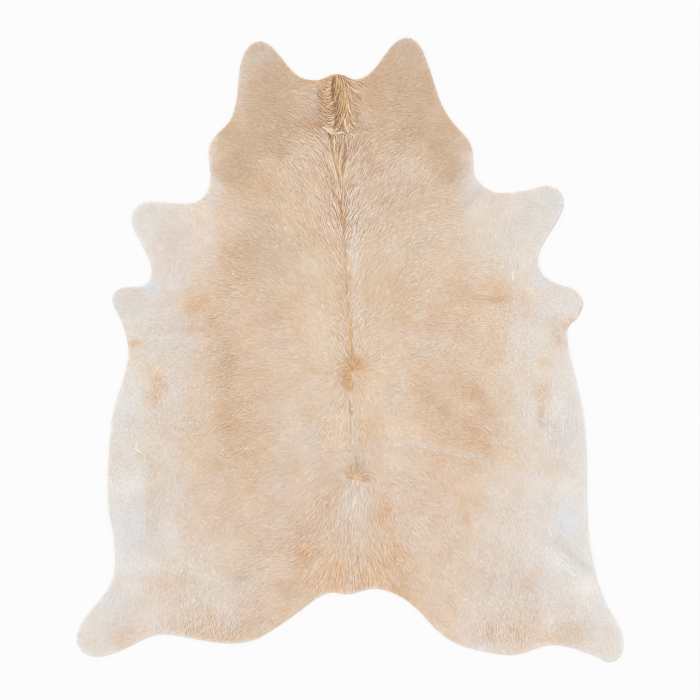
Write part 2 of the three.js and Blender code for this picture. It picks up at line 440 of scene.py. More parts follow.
def comb(points):
    """How the hair lies at these points: its direction, length, contrast and tone."""
    out, side = from_spine(points)
    near = (out[:, None] - guide_places[:, 0]) ** 2 + (points[:, 1, None] - guide_places[:, 1]) ** 2
    weight = 1 / (near + GUIDE_REACH**2) ** 2
    weight /= weight.sum(1, keepdims=True)
    angle = np.where(side[:, None] < 0, guide_left, guide_right)
    outward = (weight * np.cos(angle)).sum(1) * ease(out / SPINE_BLEND)
    headward = (weight * np.sin(angle)).sum(1)
    way = np.stack([side * outward, headward], 1)
    for _, across, along, reach, turn in WHORLS:
        away = points - place(across, along)
        distance = np.linalg.norm(away, axis=1, keepdims=True)
        spoke = turned(away / np.maximum(distance, TINY), math.radians(turn))
        way = mix(way, spoke, np.exp(-((distance * 1000 / reach) ** 2)))
    heading = np.arctan2(way[:, 1], way[:, 0])
    return heading, weight @ guide_length, weight @ guide_contrast, weight @ guide_tone


# %% [markdown]
# No hide is even. The drift of tone and of lie over a hand's breadth comes from smooth noise: a coarse
# net of random numbers, blended between. Several sizes of hills are laid over each other, as each list
# of heights and spacings says.

# %% Drift
SEED = 41
luck = np.random.default_rng(SEED)
print(f"every number that is left to chance follows from {SEED}")


def drift(points, spacing):
    """Smooth noise from -1 to 1 whose hills are this far apart, in metres."""
    columns = int(RUG_WIDTH / spacing) + 4
    rows = int(RUG_LENGTH / spacing) + 4
    hills = luck.uniform(-1, 1, (rows, columns))
    x = (points[:, 0] + RUG_WIDTH / 2) / spacing + 1
    y = (points[:, 1] + RUG_LENGTH / 2) / spacing + 1
    column, row = np.clip(x.astype(int), 0, columns - 2), np.clip(y.astype(int), 0, rows - 2)
    return read_net(hills, column, row, ease(x - column), ease(y - row))


def drifts(points, hills):
    """The sum of several drifts, each with the height and the spacing of its hills."""
    return sum(height * drift(points, spacing) for height, spacing in hills)


# %% [markdown]
# The spots, smudges and pale streaks that give this hide its face are listed patches, mostly broad
# ones first and small ones over them. Each is a soft oval with a ragged rim, for which a drift makes
# it now wider, now narrower. The columns are the place, across, along, half width and half length in mm,
# turn in degrees, tone and strength.

# %% Broad patches
PATCHES = [
    ("crest", -1.8, 39.9, 38, 105, 0, "honey", 0.8),
    ("below the collar", -1.9, 31.8, 26, 62, 0, "gold", 0.6),
    ("left throat corner", -25.5, 24.5, 60, 70, 0, "oyster", 0.6),
    ("right throat corner", 23.5, 23.5, 110, 110, 0, "oyster", 0.6),
    ("left shoulder, tan", -17.5, 17.5, 110, 210, 0, "fawn", 0.45),
    ("left ribs, tan", -26.5, 8.0, 110, 110, 0, "sand", 0.5),
    ("right ribs, tan", 29.0, 9.5, 110, 70, 0, "sand", 0.5),
    ("right ribs, pale", 13.0, 16.0, 140, 230, 0, "cream", 0.3),
    ("left loin, pale", -7.0, -13.5, 90, 100, 0, "cream", 0.35),
    ("right hip, pale", 13.0, -29.5, 110, 90, 0, "cream", 0.5),
    ("left low flank, tan", -27.0, -20.5, 110, 150, 0, "sand", 0.55),
    ("right flank, pale", 31.5, -6.5, 70, 110, 0, "oyster", 0.5),
    ("right belly, pale", 40.5, -13.5, 90, 130, 0, "frost", 0.55),
    ("right stifle, pale", 37.5, -33.5, 90, 60, 0, "pearl", 0.7),
    ("left thigh, tan", -33.5, -40.0, 110, 90, 0, "sand", 0.35),
    ("left thigh", -25.0, -32.0, 140, 150, 0, "cream", 0.3),
    ("right thigh", 27.0, -31.0, 190, 160, 0, "oyster", 0.4),
    ("left rear", -28.0, -42.0, 170, 90, 0, "oyster", 0.4),
    ("right rear", 27.0, -43.0, 170, 90, 0, "oyster", 0.4),
    ("left stifle", -40.7, -27.4, 72, 84, 10, "frost", 0.85),
    ("right stifle", 39.7, -27.2, 66, 84, -10, "frost", 0.85),
    ("right flank, white", 34.2, 3.0, 36, 20, 0, "pearl", 0.7),
    # the fold at the right stifle is painted: grey shade on its outer side and a white highlight on its
    # inner side
    ("right stifle, shade of the fold", 41.6, -33.6, 110, 18, -42, "ash", 0.4),
    ("right stifle, white band", 38.0, -33.8, 90, 30, -48, "milk", 0.6),
    ("left belly", -42.5, -16.0, 40, 130, 0, "pearl", 0.6),
    ("left armpit, pale", -33.5, 11.0, 70, 50, 0, "pearl", 0.6),
    ("right armpit, pale", 33.2, 12.4, 34, 30, 0, "oyster", 0.6),
    ("before the front whorl", 0.7, 1.0, 40, 90, 0, "milk", 0.25),
    ("spine of the loin", 0.8, -12.0, 40, 130, 0, "cream", 0.3),
    ("right of the crest", 4.6, 38.4, 50, 60, 0, "sand", 0.6),
    ("left of the poll", -5.2, 42.3, 36, 26, 0, "cream", 0.4),
    ("right ribs, lower, pale", 15.0, 1.5, 150, 60, 0, "cream", 0.6),
    ("right ribs, tan", 7.0, 9.5, 110, 70, 0, "straw", 0.35),
    ("right thigh, pale", 28.5, -28.0, 120, 110, 0, "pearl", 0.55),
    ("right hind leg, pale", 44.0, -39.0, 80, 110, 0, "frost", 0.5),
    ("left hind leg, pale", -43.5, -40.0, 70, 70, 0, "frost", 0.5),
    ("left rear, pale", -20.5, -39.5, 110, 110, 0, "oyster", 0.55),
    ("right rear, pale", 22.5, -43.0, 80, 100, 0, "oyster", 0.6),
    ("left flank, pale", -31.0, -4.5, 60, 90, 0, "oyster", 0.5),
    ("left loin, outer, pale", -15.0, -9.0, 60, 80, 0, "cream", 0.35),
    ("right foreleg, pale", 29.0, 21.0, 110, 120, 0, "pearl", 0.4),
    ("left foreleg, pale", -29.0, 18.0, 90, 90, 0, "oyster", 0.35),
    ("right shoulder, pale", 13.0, 15.5, 110, 70, 0, "cream", 0.35),
    ("left shoulder, pale", -21.0, 21.0, 60, 70, 0, "cream", 0.55),
    ("left neck, tan", -15.0, 24.5, 60, 50, 0, "fawn", 0.4),
    ("left shoulder blade, tan", -11.5, 16.0, 100, 90, 0, "fawn", 0.3),
    ("right loin, pale", 10.5, -6.0, 50, 40, 0, "cream", 0.4),
    ("right loin, tan", 4.5, -9.5, 60, 80, 0, "fawn", 0.35),
    ("right flank, pale", 34.0, -11.5, 110, 170, 0, "pearl", 0.6),
    ("left rump, pale", -15.5, -33.5, 80, 50, 0, "cream", 0.55),
    ("left thigh, pale", -29.0, -36.0, 90, 120, 0, "pearl", 0.4),
    ("buttock, right", 15.0, -42.5, 50, 40, 0, "fawn", 0.3),
]
print(f"{len(PATCHES)} broad patches")

# %% [markdown]
# Over these come mostly narrower ones: the tan of the cheeks and the jaws, the pale middle of the back,
# the warm and pale bands beside it, and the bluish white of the flanks and the legs.

# %% Narrower patches
PATCHES += [
    ("left cheek", -20.8, 30.5, 70, 110, 0, "fawn", 0.5),
    ("left cheek, rim", -19.8, 42.0, 22, 130, 4, "oyster", 0.5),
    ("left temple, grey wisps", -11.8, 37.8, 16, 55, 12, "ash", 0.35),
    ("left forehead, tan", -15.0, 43.5, 60, 50, 0, "dun", 0.3),
    ("left jaw, tan", -21.0, 32.5, 80, 30, 0, "fawn", 0.4),
    ("left throat, tan", -18.0, 27.0, 40, 50, 0, "amber", 0.25),
    ("left of the crest, pale", -8.0, 31.5, 80, 60, 0, "oyster", 0.3),
    ("right forehead, tan", 11.0, 43.0, 60, 100, 0, "dun", 0.45),
    ("right cheek", 15.5, 37.5, 60, 90, 20, "fawn", 0.5),
    ("right jaw, tan", 18.8, 32.5, 60, 60, 0, "dun", 0.35),
    ("right throat, spot", 18.0, 27.8, 30, 36, 0, "nut", 0.22),
    ("right neck, pale", 8.0, 27.5, 130, 140, 0, "cream", 0.75),
    ("right of the crest, pale", 2.2, 37.2, 26, 36, 0, "oyster", 0.4),
    ("withers, right, pale", 4.5, 21.0, 70, 90, 0, "cream", 0.85),
    ("right shoulder, tan", 15.5, 13.5, 90, 90, 0, "sand", 0.35),
    ("left shoulder, spot", -21.0, 14.8, 50, 22, 0, "honey", 0.25),
    ("right of the spine", 1.0, 15.0, 22, 280, 0, "milk", 0.6),
    ("croup, pale", 1.0, -22.5, 50, 60, 0, "oyster", 0.55),
    ("croup, pale", 1.3, -29.0, 44, 130, 0, "cream", 0.6),
    ("left side, tan band", -22.3, -6.0, 50, 320, 2, "honey", 0.28),
    ("left side, spot", -22.5, -10.5, 40, 50, 0, "honey", 0.2),
    ("left side, spot", -22.0, -2.5, 34, 40, 0, "honey", 0.2),
    ("left loin, pale band", -12.0, -13.0, 30, 200, 0, "oyster", 0.4),
    ("left loin, pale band", -7.2, -16.0, 26, 110, 0, "oyster", 0.4),
    ("left loin, pale end", -12.8, -21.6, 22, 50, 0, "oyster", 0.3),
    ("left loin, warm spot", -11.9, -11.4, 26, 24, 0, "gold", 0.3),
    ("left loin, warm spot", -9.2, -18.4, 26, 28, 0, "gold", 0.25),
    ("right side, upper band", 16.5, -9.3, 38, 140, 50, "honey", 0.4),
    ("right side, outer band", 23.5, -8.0, 36, 120, 35, "honey", 0.4),
    ("right side, lower band", 24.6, -14.6, 26, 70, 48, "honey", 0.3),
    ("right loin, warm", 11.5, -2.5, 60, 50, 0, "gold", 0.2),
    ("right loin, pale band", 8.8, -5.5, 24, 70, -10, "oyster", 0.35),
    ("right loin, scratch", 10.0, -14.9, 120, 9, -4, "pearl", 0.6),
    ("right loin, scratch", 21.0, -16.7, 130, 9, -13, "pearl", 0.6),
    ("right hip, tan", 21.0, -27.0, 30, 60, 0, "honey", 0.25),
    ("left flank, whole, pale", -33.0, -12.5, 90, 240, 0, "pearl", 0.5),
    ("right forehead, edge", 9.5, 43.2, 45, 45, 0, "honey", 0.25),
    ("right jaw, edge", 21.4, 32.8, 42, 46, 0, "fawn", 0.9),
    ("poll, left, pale", -7.5, 40.5, 60, 60, 0, "oyster", 0.35),
    ("left ear, pale", -16.3, 47.6, 60, 50, 0, "frost", 0.3),
    ("right fore toe, pale", 36.5, 24.5, 55, 60, 0, "frost", 0.35),
    ("right side, pale", 15.5, 0.3, 110, 90, 0, "cream", 0.45),
    ("left side, pale below", -21.0, -20.5, 50, 60, 0, "oyster", 0.35),
    ("right hind leg, pale", 45.8, -42.0, 45, 70, 0, "frost", 0.5),
    ("spine of the loin", 0.2, -13.0, 20, 120, 0, "pearl", 0.5),
    ("left tail side, tan", -10.0, -37.5, 60, 45, 0, "honey", 0.35),
    ("left of the collar, pale", -6.0, 38.2, 45, 45, 0, "oyster", 0.3),
    ("right throat, pale", 21.5, 28.5, 40, 50, 0, "frost", 0.35),
    # painted shade of a wrinkle at the right throat
    ("right throat, grey streak", 22.2, 24.2, 13, 70, -41, "ash", 0.3),
    ("right neck, paler", 8.5, 26.0, 110, 110, 0, "cream", 0.3),
    ("withers, right, paler", 4.0, 20.5, 80, 90, 0, "butter", 0.35),
    ("right shoulder, pale", 12.5, 15.7, 90, 60, 0, "cream", 0.4),
    ("right armpit, tan", 27.0, 11.2, 70, 45, 0, "gold", 0.28),
    ("left side, pale", -29.5, 1.8, 90, 60, 0, "oyster", 0.5),
    ("left back, pale", -12.5, 0.3, 120, 65, 0, "cream", 0.4),
    ("right flank, pale", 38.2, -12.5, 65, 120, 0, "pearl", 0.45),
    ("right flank, beside the tufts", 38.0, -8.0, 36, 80, 0, "milk", 0.5),
    ("left flank, bluish", -40.5, -12.0, 70, 130, 0, "frost", 0.35),
    ("left flank, tan", -36.2, -21.5, 45, 90, 0, "gold", 0.3),
    ("right thigh, pale", 32.0, -36.5, 220, 110, 0, "frost", 0.45),
    ("right rump, pale", 23.0, -46.0, 90, 60, 0, "pearl", 0.4),
    ("left thigh, pale", -29.0, -40.5, 200, 110, 0, "pearl", 0.35),
    ("left rump, edge", -15.5, -42.8, 60, 40, 0, "dun", 0.3),
    ("croup, tan", 4.0, -34.5, 230, 60, 0, "gold", 0.3),
    ("right flank, bluish", 39.8, -9.5, 45, 150, 0, "frost", 0.3),
    ("left thigh, bluish", -38.0, -36.0, 60, 80, 0, "frost", 0.3),
    ("left rump, bluish", -22.0, -42.2, 40, 40, 0, "frost", 0.3),
    ("right rump, bluish", 25.5, -47.2, 80, 28, 0, "frost", 0.45),
    ("tail, far right", 15.8, -38.8, 45, 50, 0, "pearl", 0.3),
    ("right throat, paler", 21.2, 27.0, 45, 60, 0, "pearl", 0.4),
    ("left elbow, grey", -41.6, 7.4, 60, 55, 0, "frost", 0.5),
    ("right elbow, grey", 39.5, 7.6, 80, 55, 0, "frost", 0.3),
    # the crease at the left elbow is painted: a darker line of shade in it and a pale band of light below
    # it
    ("left elbow, crease", -32.3, 3.4, 105, 7, 2, "dun", 0.25),
    ("left elbow, below the crease", -33.5, 1.9, 120, 16, 0, "milk", 0.35),
    ("left hock, tan", -41.2, -47.2, 70, 28, 0, "gold", 0.35),
    ("right hock, tan", 37.5, -46.0, 90, 45, 0, "gold", 0.35),
    ("left thigh, tan", -34.5, -36.8, 90, 45, 0, "gold", 0.3),
    ("right thigh, tan", 31.5, -36.5, 80, 55, 0, "gold", 0.25),
    ("left rump, tan", -25.5, -43.0, 50, 50, 0, "amber", 0.15),
    ("tail, left", -3.2, -36.3, 44, 50, 0, "amber", 0.35),
    ("tail, middle", 0.5, -37.6, 22, 40, 0, "cream", 0.7),
    ("tail, right", 9.5, -38.0, 80, 60, 0, "honey", 0.5),
    ("tail, outer left", -11.0, -39.5, 80, 45, 20, "dun", 0.35),
]
print(f"{len(PATCHES)} patches with the narrower ones")

# %% [markdown]
# Last come the spots: the tan of the curls, the rust of the tufts and elbows, the two whorls, the
# grey smudges, and a few more at the rims.

# %% Spots and smudges
PATCHES += [
    ("left curls", -7.9, -32.1, 38, 32, 0, "amber", 0.5),
    ("right curls", 7.4, -32.4, 40, 44, 0, "amber", 0.4),
    ("right curls, upper", 6.2, -25.5, 26, 40, 0, "gold", 0.45),
    ("left elbow", -39.5, 7.0, 90, 60, 0, "pearl", 0.7),
    ("right elbow", 39.0, 7.2, 90, 60, 0, "pearl", 0.75),
    ("left armpit", -36.3, 10.3, 36, 38, 30, "frost", 0.95),
    ("right armpit", 34.4, 11.6, 30, 30, -30, "frost", 0.9),
    # a white line of painted highlight on a fold at the right armpit
    ("right armpit, fold", 33.4, 10.1, 16, 26, 35, "milk", 0.6),
    ("left ribs, rust", -27.0, 7.8, 44, 26, 15, "rust", 0.5),
    ("left ribs, tan around", -27.0, 7.8, 80, 60, 0, "gold", 0.3),
    ("right ribs, rust", 25.8, 8.4, 66, 17, 0, "rust", 0.55),
    ("right ribs, tan around", 24.0, 8.0, 130, 50, 0, "gold", 0.25),
    ("left elbow, rust", -39.4, 1.0, 26, 12, -12, "rust", 0.5),
    ("left elbow, pink", -38.8, -1.2, 36, 30, 0, "sand", 0.5),
    ("left elbow, below the line", -39.9, 0.3, 30, 14, 0, "amber", 0.35),
    ("left flank, tufts", -35.6, -4.8, 50, 90, 20, "sand", 0.35),
    ("left flank, tuft", -36.2, -3.2, 9, 30, 15, "amber", 0.3),
    ("left flank, tuft", -34.8, -4.4, 13, 24, 20, "amber", 0.4),
    ("left flank, tuft", -33.6, -5.7, 11, 16, 20, "rust", 0.3),
    ("left flank, rust end", -35.3, -7.5, 20, 16, 0, "rust", 0.35),
    ("left flank, low spot", -33.3, -12.8, 18, 20, 0, "rust", 0.2),
    ("left curl", -38.8, -16.5, 10, 12, 0, "rust", 0.5),
    ("right elbow, rust rim", 42.1, 6.3, 9, 24, -25, "rust", 0.8),
    ("right elbow, rust rim", 40.4, 4.8, 11, 26, -52, "rust", 0.8),
    ("right elbow, lines", 38.0, 2.2, 26, 40, 0, "rust", 0.25),
    ("right flank, upper tuft", 35.3, -1.5, 34, 16, 0, "amber", 0.45),
    ("right flank, middle tuft", 34.6, -6.2, 28, 22, 0, "amber", 0.4),
    ("right flank, lower tuft", 35.0, -9.6, 10, 36, 0, "amber", 0.4),
    ("front whorl, right", 1.0, -2.6, 20, 26, 0, "amber", 0.65),
    ("front whorl, left", -0.3, -4.9, 18, 34, 0, "amber", 0.8),
    ("front whorl, around", 0.4, -3.6, 60, 50, 0, "gold", 0.3),
    ("front whorl, grey middle", 0.8, -3.8, 5, 5, 0, "ash", 0.6),
    ("front whorl, white middle", 0.8, -4.6, 5, 12, 0, "pearl", 0.6),
    ("before the rear whorl", 1.3, -17.3, 44, 34, 0, "cream", 0.75),
    ("rear whorl", 0.6, -20.0, 16, 17, -15, "amber", 0.65),
    ("rear whorl, right", 3.0, -20.3, 18, 9, 0, "amber", 0.4),
    ("brown smudge", -13.5, -24.3, 16, 13, 0, "bark", 0.16),
    ("grey smudge", -14.0, -29.8, 22, 12, 0, "ash", 0.3),
    ("grey smudge", 14.1, -24.8, 14, 10, 0, "ash", 0.35),
    ("grey smudge", 25.0, -23.5, 18, 12, 0, "ash", 0.25),
    ("left rump, grey lock", -20.0, -36.1, 42, 17, 0, "ash", 0.6),
    ("right thigh, edge", 43.4, -38.8, 60, 75, 15, "milk", 0.4),
    ("left ear, rim", -18.6, 44.2, 26, 80, 0, "pearl", 0.35),
    ("right ear, middle", 7.8, 45.8, 34, 60, 0, "fawn", 0.5),
    ("left elbow, shade", -40.2, 6.8, 50, 60, 0, "ash", 0.2),
    ("right foreleg, rim", 37.4, 23.2, 45, 55, 0, "frost", 0.45),
    ("left armpit, blue", -35.8, 11.0, 26, 24, 0, "frost", 0.4),
    ("left hind toe, rust", -39.8, -45.8, 55, 34, 20, "wheat", 0.5),
    ("left rump, edge", -27.0, -44.8, 110, 24, 0, "cream", 0.35),
    ("right rump, edge", 29.5, -46.4, 80, 24, 0, "cream", 0.3),
    ("right hind toe, rust", 39.5, -45.4, 36, 26, 0, "oyster", 0.3),
]
print(f"{len(PATCHES)} patches in all")

# %% [markdown]
# A patch is strongest in its middle and fades outwards as a bell curve does, so no rim shows as a line.

# %% Painting the patches
RAGGED = 0.22  # how uneven the rims of the spots are


def in_spot(points, rim, across, along, half_width, half_length, turn):
    """How far the points lie in a soft oval spot, from 0 to 1."""
    away = turned((points - place(across, along)) * 1000, -math.radians(turn))
    reach = (away[:, 0] / half_width) ** 2 + (away[:, 1] / half_length) ** 2
    return np.exp(-reach * (1 + RAGGED * rim) ** 2)


def paint(points, rim, coat):
    """The patches laid over the coat's tone."""
    for _, *oval, tone, strength in PATCHES:
        coat = mix(coat, tones[tone], strength * in_spot(points, rim, *oval)[:, None])
    return coat


# %% [markdown]
# Along the spine and between the long tufts the coat parts, and the shaded roots show as dark lines.
# In a parting most clumps are left out, and those that stay are darker. The columns are the place,
# half width in mm, tone, strength, and the points that the parting's line runs through.

# %% Partings
PARTINGS = [
    ("crest, upper gap", 4.5, "bark", 0.95, [(-2.9, 43.8), (-3.2, 42.5), (-3.2, 41.3)]),
    ("crest, upper gap", 3.5, "bark", 0.9, [(-2.8, 42.0), (-3.0, 41.1), (-3.1, 40.0)]),
    ("crest, middle gap", 4, "bark", 0.9, [(-2.2, 40.6), (-2.4, 39.5), (-3.0, 38.9)]),
    ("crest, lower gap", 3, "bark", 0.75, [(-2.1, 39.2), (-2.4, 38.3), (-2.8, 37.5)]),
    ("crest, left branch", 4, "bark", 0.85, [(-2.8, 38.3), (-3.4, 37.7)]),
    ("crest, last gap", 4, "bark", 0.85, [(-2.4, 36.7), (-2.7, 36.0), (-3.3, 35.2)]),
    ("crest, in the stream", 2.5, "nut", 0.7, [(-1.8, 41.5), (-1.7, 40.9)]),
    ("crest, in the fan", 2.5, "nut", 0.7, [(-0.8, 37.3), (-0.4, 35.9)]),
    ("under the first sweep", 2.5, "bark", 0.6, [(-5.9, 41.4), (-5.2, 40.7), (-4.3, 40.6), (-3.5, 40.8)]),
    ("under the second sweep", 5, "nut", 0.7, [(-5.6, 40.3), (-4.9, 39.6)]),
    ("under the third sweep", 3, "bark", 0.65, [(-5.6, 38.8), (-4.7, 38.0), (-3.5, 37.7)]),
    ("under the last sweep", 2.5, "bark", 0.55, [(-5.7, 36.7), (-4.8, 36.1), (-4.0, 36.1)]),
    ("left of the collar", 5, "ash", 0.75, [(-5.5, 35.6), (-4.4, 34.7)]),
    ("over the collar", 4, "nut", 0.7, [(-2.7, 35.0), (-2.3, 34.8)]),
    ("below the collar, left", 4, "bark", 0.75, [(-3.6, 34.2), (-3.3, 32.9)]),
    ("below the collar, left", 3, "nut", 0.85, [(-3.3, 32.9), (-3.0, 31.2), (-2.3, 29.8)]),
    ("below the collar, middle", 3, "nut", 0.85, [(-1.7, 32.9), (-2.1, 31.6), (-2.2, 29.8)]),
    ("below the collar, right", 3.5, "bark", 0.6, [(-0.9, 33.1), (-1.0, 31.5), (-1.0, 29.9), (-1.5, 28.3)]),
    ("tip of the gaps", 4, "nut", 0.95, [(-2.5, 29.1), (-2.0, 27.4)]),
    ("neck, left strokes", 2.5, "nut", 0.7, [(-4.1, 27.6), (-3.1, 26.4)]),
    ("neck, left strokes", 2.5, "nut", 0.7, [(-3.1, 25.3), (-2.4, 23.7)]),
    ("neck, right stroke", 3.5, "nut", 0.5, [(0.6, 26.6), (0.8, 26.1)]),
    ("neck", 3, "nut", 0.85, [(-1.9, 23.9), (-1.5, 21.0)]),
    ("withers", 2.2, "nut", 0.45, [(-1.5, 21.0), (-1.0, 16.0)]),
    ("withers", 2.2, "nut", 0.4, [(-1.0, 16.0), (-0.7, 10.4)]),
    ("back", 2.2, "nut", 0.3, [(-0.7, 10.4), (-0.3, 5.1)]),
    ("left elbow, line", 2.6, "rust", 0.7, [(-40.7, 1.1), (-37.9, 1.4)]),
    ("before the front whorl", 2.5, "rust", 0.9, [(0.0, 4.8), (0.2, 0.8), (0.6, -1.8)]),
    ("before the front whorl", 2, "nut", 0.6, [(-0.5, 0.0), (0.2, -1.9)]),
    ("front whorl, left arm", 2.0, "nut", 0.6, [(-0.6, -1.4), (0.5, -3.3)]),
    ("front whorl, inner stroke", 2.0, "rust", 0.6, [(0.0, -2.5), (0.6, -3.3)]),
    ("front whorl, right arm", 2.2, "rust", 0.7, [(1.5, -1.8), (0.8, -2.9)]),
    ("front whorl, ray to the left", 2.0, "nut", 0.6, [(-1.7, -3.7), (-0.6, -4.3)]),
    ("front whorl, ray to the left", 2.0, "nut", 0.5, [(-2.3, -4.8), (-0.9, -4.7)]),
    ("front whorl, ray to the left", 2.0, "nut", 0.5, [(-2.4, -5.4), (-1.5, -5.1)]),
    ("front whorl, ray to the left", 2.0, "nut", 0.4, [(-3.8, -3.5), (-3.2, -3.8)]),
    ("front whorl, ray to the right", 2.0, "nut", 0.45, [(1.2, -4.0), (1.9, -4.5)]),
    ("front whorl, ray to the right", 2.0, "nut", 0.35, [(1.6, -5.7), (2.0, -6.7)]),
    ("behind the front whorl", 1.8, "nut", 0.9, [(-0.1, -7.9), (0.2, -10.3)]),
    ("loin", 1.8, "rust", 0.8, [(0.2, -10.3), (0.2, -12.8), (0.1, -16.8)]),
    ("loin", 1.5, "rust", 0.5, [(-0.7, -11.2), (-0.6, -16.8)]),
    ("rear whorl, ray", 2.0, "rust", 0.6, [(0.0, -18.5), (0.7, -19.9)]),
    ("rear whorl, ray", 1.8, "nut", 0.5, [(1.0, -17.0), (1.1, -19.2)]),
    ("rear whorl, ray", 1.8, "nut", 0.45, [(2.6, -18.0), (2.0, -18.9)]),
    ("rear whorl, left", 2.5, "amber", 0.7, [(-1.2, -19.9), (0.0, -19.6)]),
    ("rear whorl, right", 2.5, "amber", 0.7, [(2.2, -20.2), (3.8, -19.5)]),
    ("rear whorl, right", 2.0, "amber", 0.6, [(2.0, -20.4), (3.4, -20.8)]),
    ("croup", 1.5, "rust", 0.4, [(0.4, -22.4), (0.4, -24.0)]),
    ("croup", 2, "ash", 0.5, [(-0.4, -28.8), (0.2, -33.0)]),
    ("croup", 2, "nut", 0.6, [(1.3, -31.7), (1.5, -34.6)]),
    ("croup", 2, "nut", 0.4, [(2.9, -32.4), (4.4, -35.3)]),
]
PARTING_LEFT_OUT = 0.75  # share of the clumps that a full parting leaves out


def on_partings(points):
    """For each straight part of each parting: its tone, and how far the points lie on it, from 0 to 1."""
    for _, half_width, tone, strength, line in PARTINGS:
        for start, end in zip(line, line[1:]):
            start, run = place(*start), place(*end) - place(*start)
            along = np.clip((points - start) @ run / (run @ run), 0, 1)[..., None]
            off = np.linalg.norm(points - start - along * run, axis=-1) * 1000 / half_width
            yield tones[tone], strength * np.exp(-(off**2))


def parting_share(points):
    """The share of the clumps to leave out at these points."""
    return PARTING_LEFT_OUT * np.max([share for _, share in on_partings(points)], 0)


def shade_partings(points, coat):
    """The coat's tone with the dark roots that show in the partings."""
    for tone, share in on_partings(points):
        coat = mix(coat, tone, share[..., None])
    return coat


print(f"{len(PARTINGS)} partings")

# %% [markdown]
# In some places the coat is ruffled: curls on the croup, tufts on the thighs and flanks. There the locks
# differ more than the guide hairs say. The columns are the place, across, along, half width and half
# length in mm, turn in degrees and what is added to the contrast.

# %% Loose spots
LOOSE_SPOTS = [
    ("croup, left", -7.9, -32.0, 45, 60, 0, 0.5),
    ("croup, right", 6.8, -31.9, 75, 75, 0, 0.5),
    ("croup, left, upper", -5.0, -25.3, 60, 45, 20, 0.3),
    ("croup, right, upper", 6.3, -25.5, 35, 45, 0, 0.4),
    ("tail foot", 0.5, -36.0, 200, 80, 0, 0.1),
    ("left thigh, upper", -31.0, -38.5, 90, 70, 0, 0.3),
    ("left thigh, lower", -25.0, -44.3, 190, 70, 0, 0.75),
    ("left hock", -41.2, -45.5, 55, 50, 0, 0.3),
    ("right thigh", 31.7, -41.0, 120, 90, 0, 0.25),
    ("right rear", 25.5, -44.8, 60, 60, 0, 0.8),
    ("right rear, outer", 30.8, -45.6, 50, 50, 0, 0.8),
    ("right hock", 39.6, -45.0, 85, 50, 0, 0.55),
    ("left flank, upper", -34.8, -5.0, 50, 75, 0, 0.25),
    ("left flank, lower", -35.3, -8.8, 30, 65, 0, 0.2),
    ("left flank, curved", -30.0, -12.0, 60, 40, 0, 0.3),
    ("left ribs", -27.8, 7.5, 45, 30, 0, 0.4),
    ("right flank, middle", 34.8, -6.9, 40, 45, 0, 0.35),
    ("right flank, lower", 34.8, -9.6, 18, 50, 0, 0.35),
    ("right flank, outer", 38.8, -9.9, 70, 170, 0, 0.4),
    ("right elbow", 38.1, 2.6, 35, 60, 0, 0.6),
    ("right neck", 7.5, 25.5, 130, 150, 0, 0.4),
    ("left low ribs", -21.0, 11.0, 75, 100, 0, 0.3),
    ("left side", -24.0, 0.0, 80, 160, 0, 0.25),
    ("right ribs", 10.5, 11.0, 70, 90, 0, 0.25),
    ("left flank, inner", -20.0, -10.0, 100, 260, 0, 0.15),
    ("left loin", -5.5, -12.0, 40, 130, 0, 0.3),
]
RIM_HILLS = [(1, 0.05), (1, 0.02)]  # height of the hills, and their spacing in metres

rim = drifts(chart_points, RIM_HILLS)
loosened = sum(more * in_spot(chart_points, rim, *oval) for _, *oval, more in LOOSE_SPOTS)
print(f"{len(LOOSE_SPOTS)} loose spots, up to {loosened.max():.2f}")

# %% [markdown]
# The lie of the hair gets charts of its own, so that a lock or a long strand can ask for it anywhere.
# Noise bends it a little, as hair is never combed quite evenly.

# %% Charts of the lie
LIE_HILLS = [(7, 0.16), (6, 0.05)]  # in degrees, and metres

headings, lengths, contrasts, _ = comb(chart_points)
contrasts += loosened
headings += np.radians(drifts(chart_points, LIE_HILLS))
lie_x_chart = np.cos(headings).reshape(gap_chart.shape)
lie_y_chart = np.sin(headings).reshape(gap_chart.shape)
length_chart = lengths.reshape(gap_chart.shape)
contrast_chart = contrasts.reshape(gap_chart.shape)


def lie(points):
    """The way the hair points here, as steps of length 1."""
    way = np.stack([read_chart(lie_x_chart, points), read_chart(lie_y_chart, points)], 1)
    return way / np.maximum(np.linalg.norm(way, axis=1, keepdims=True), TINY)


print(f"the hair is {lengths.min() * 1000:.0f} to {lengths.max() * 1000:.0f} mm long")

# %% [markdown]
# The tone of the coat is charted too. It starts with the guide hairs' tones, looked up a little beside
# each point, so that no border is straight. The patches come over that, and then mottles: lighter and
# darker ones everywhere, and warmer and cooler ones where the coat is warm. The white belly stays calm.
# Where hair is darker it is also warmer, so a shade works more on green and blue than on red.

# %% Tone of the coat
SHADE_BY_COLOUR = np.array([0.5, 1.1, 1.8])
LOST_LIGHT = np.array([0.08, 0.09, 0.11])  # what long hair swallows of each colour
MOST_CONTRAST = 1.4  # past this the locks still differ more, but no longer swallow more light
PALEST = 0.94
WANDER_HILLS = [(0.03, 0.12), (0.015, 0.035)]  # how far a tone may stray from its place, in metres
PATCH_WANDER = 0.3  # patches stray less, by this share
MOTTLE = 0.042  # how far the mottles are lighter and darker
MOTTLE_HILLS = [(0.5, 0.19), (0.8, 0.08), (1, 0.035), (0.5, 0.018)]
TINGE = 0.02  # how far they are warmer and cooler
TINGE_HILLS = [(1, 0.028), (1, 0.055), (0.6, 0.11)]
TINGE_BY_COLOUR = np.array([0.5, 0, -1])
FULL_WARMTH = 0.4  # by how much blue is weaker than red in a fully warm tone
CALM_MOTTLE = 0.4  # share of the mottles that stays where the coat isn't warm

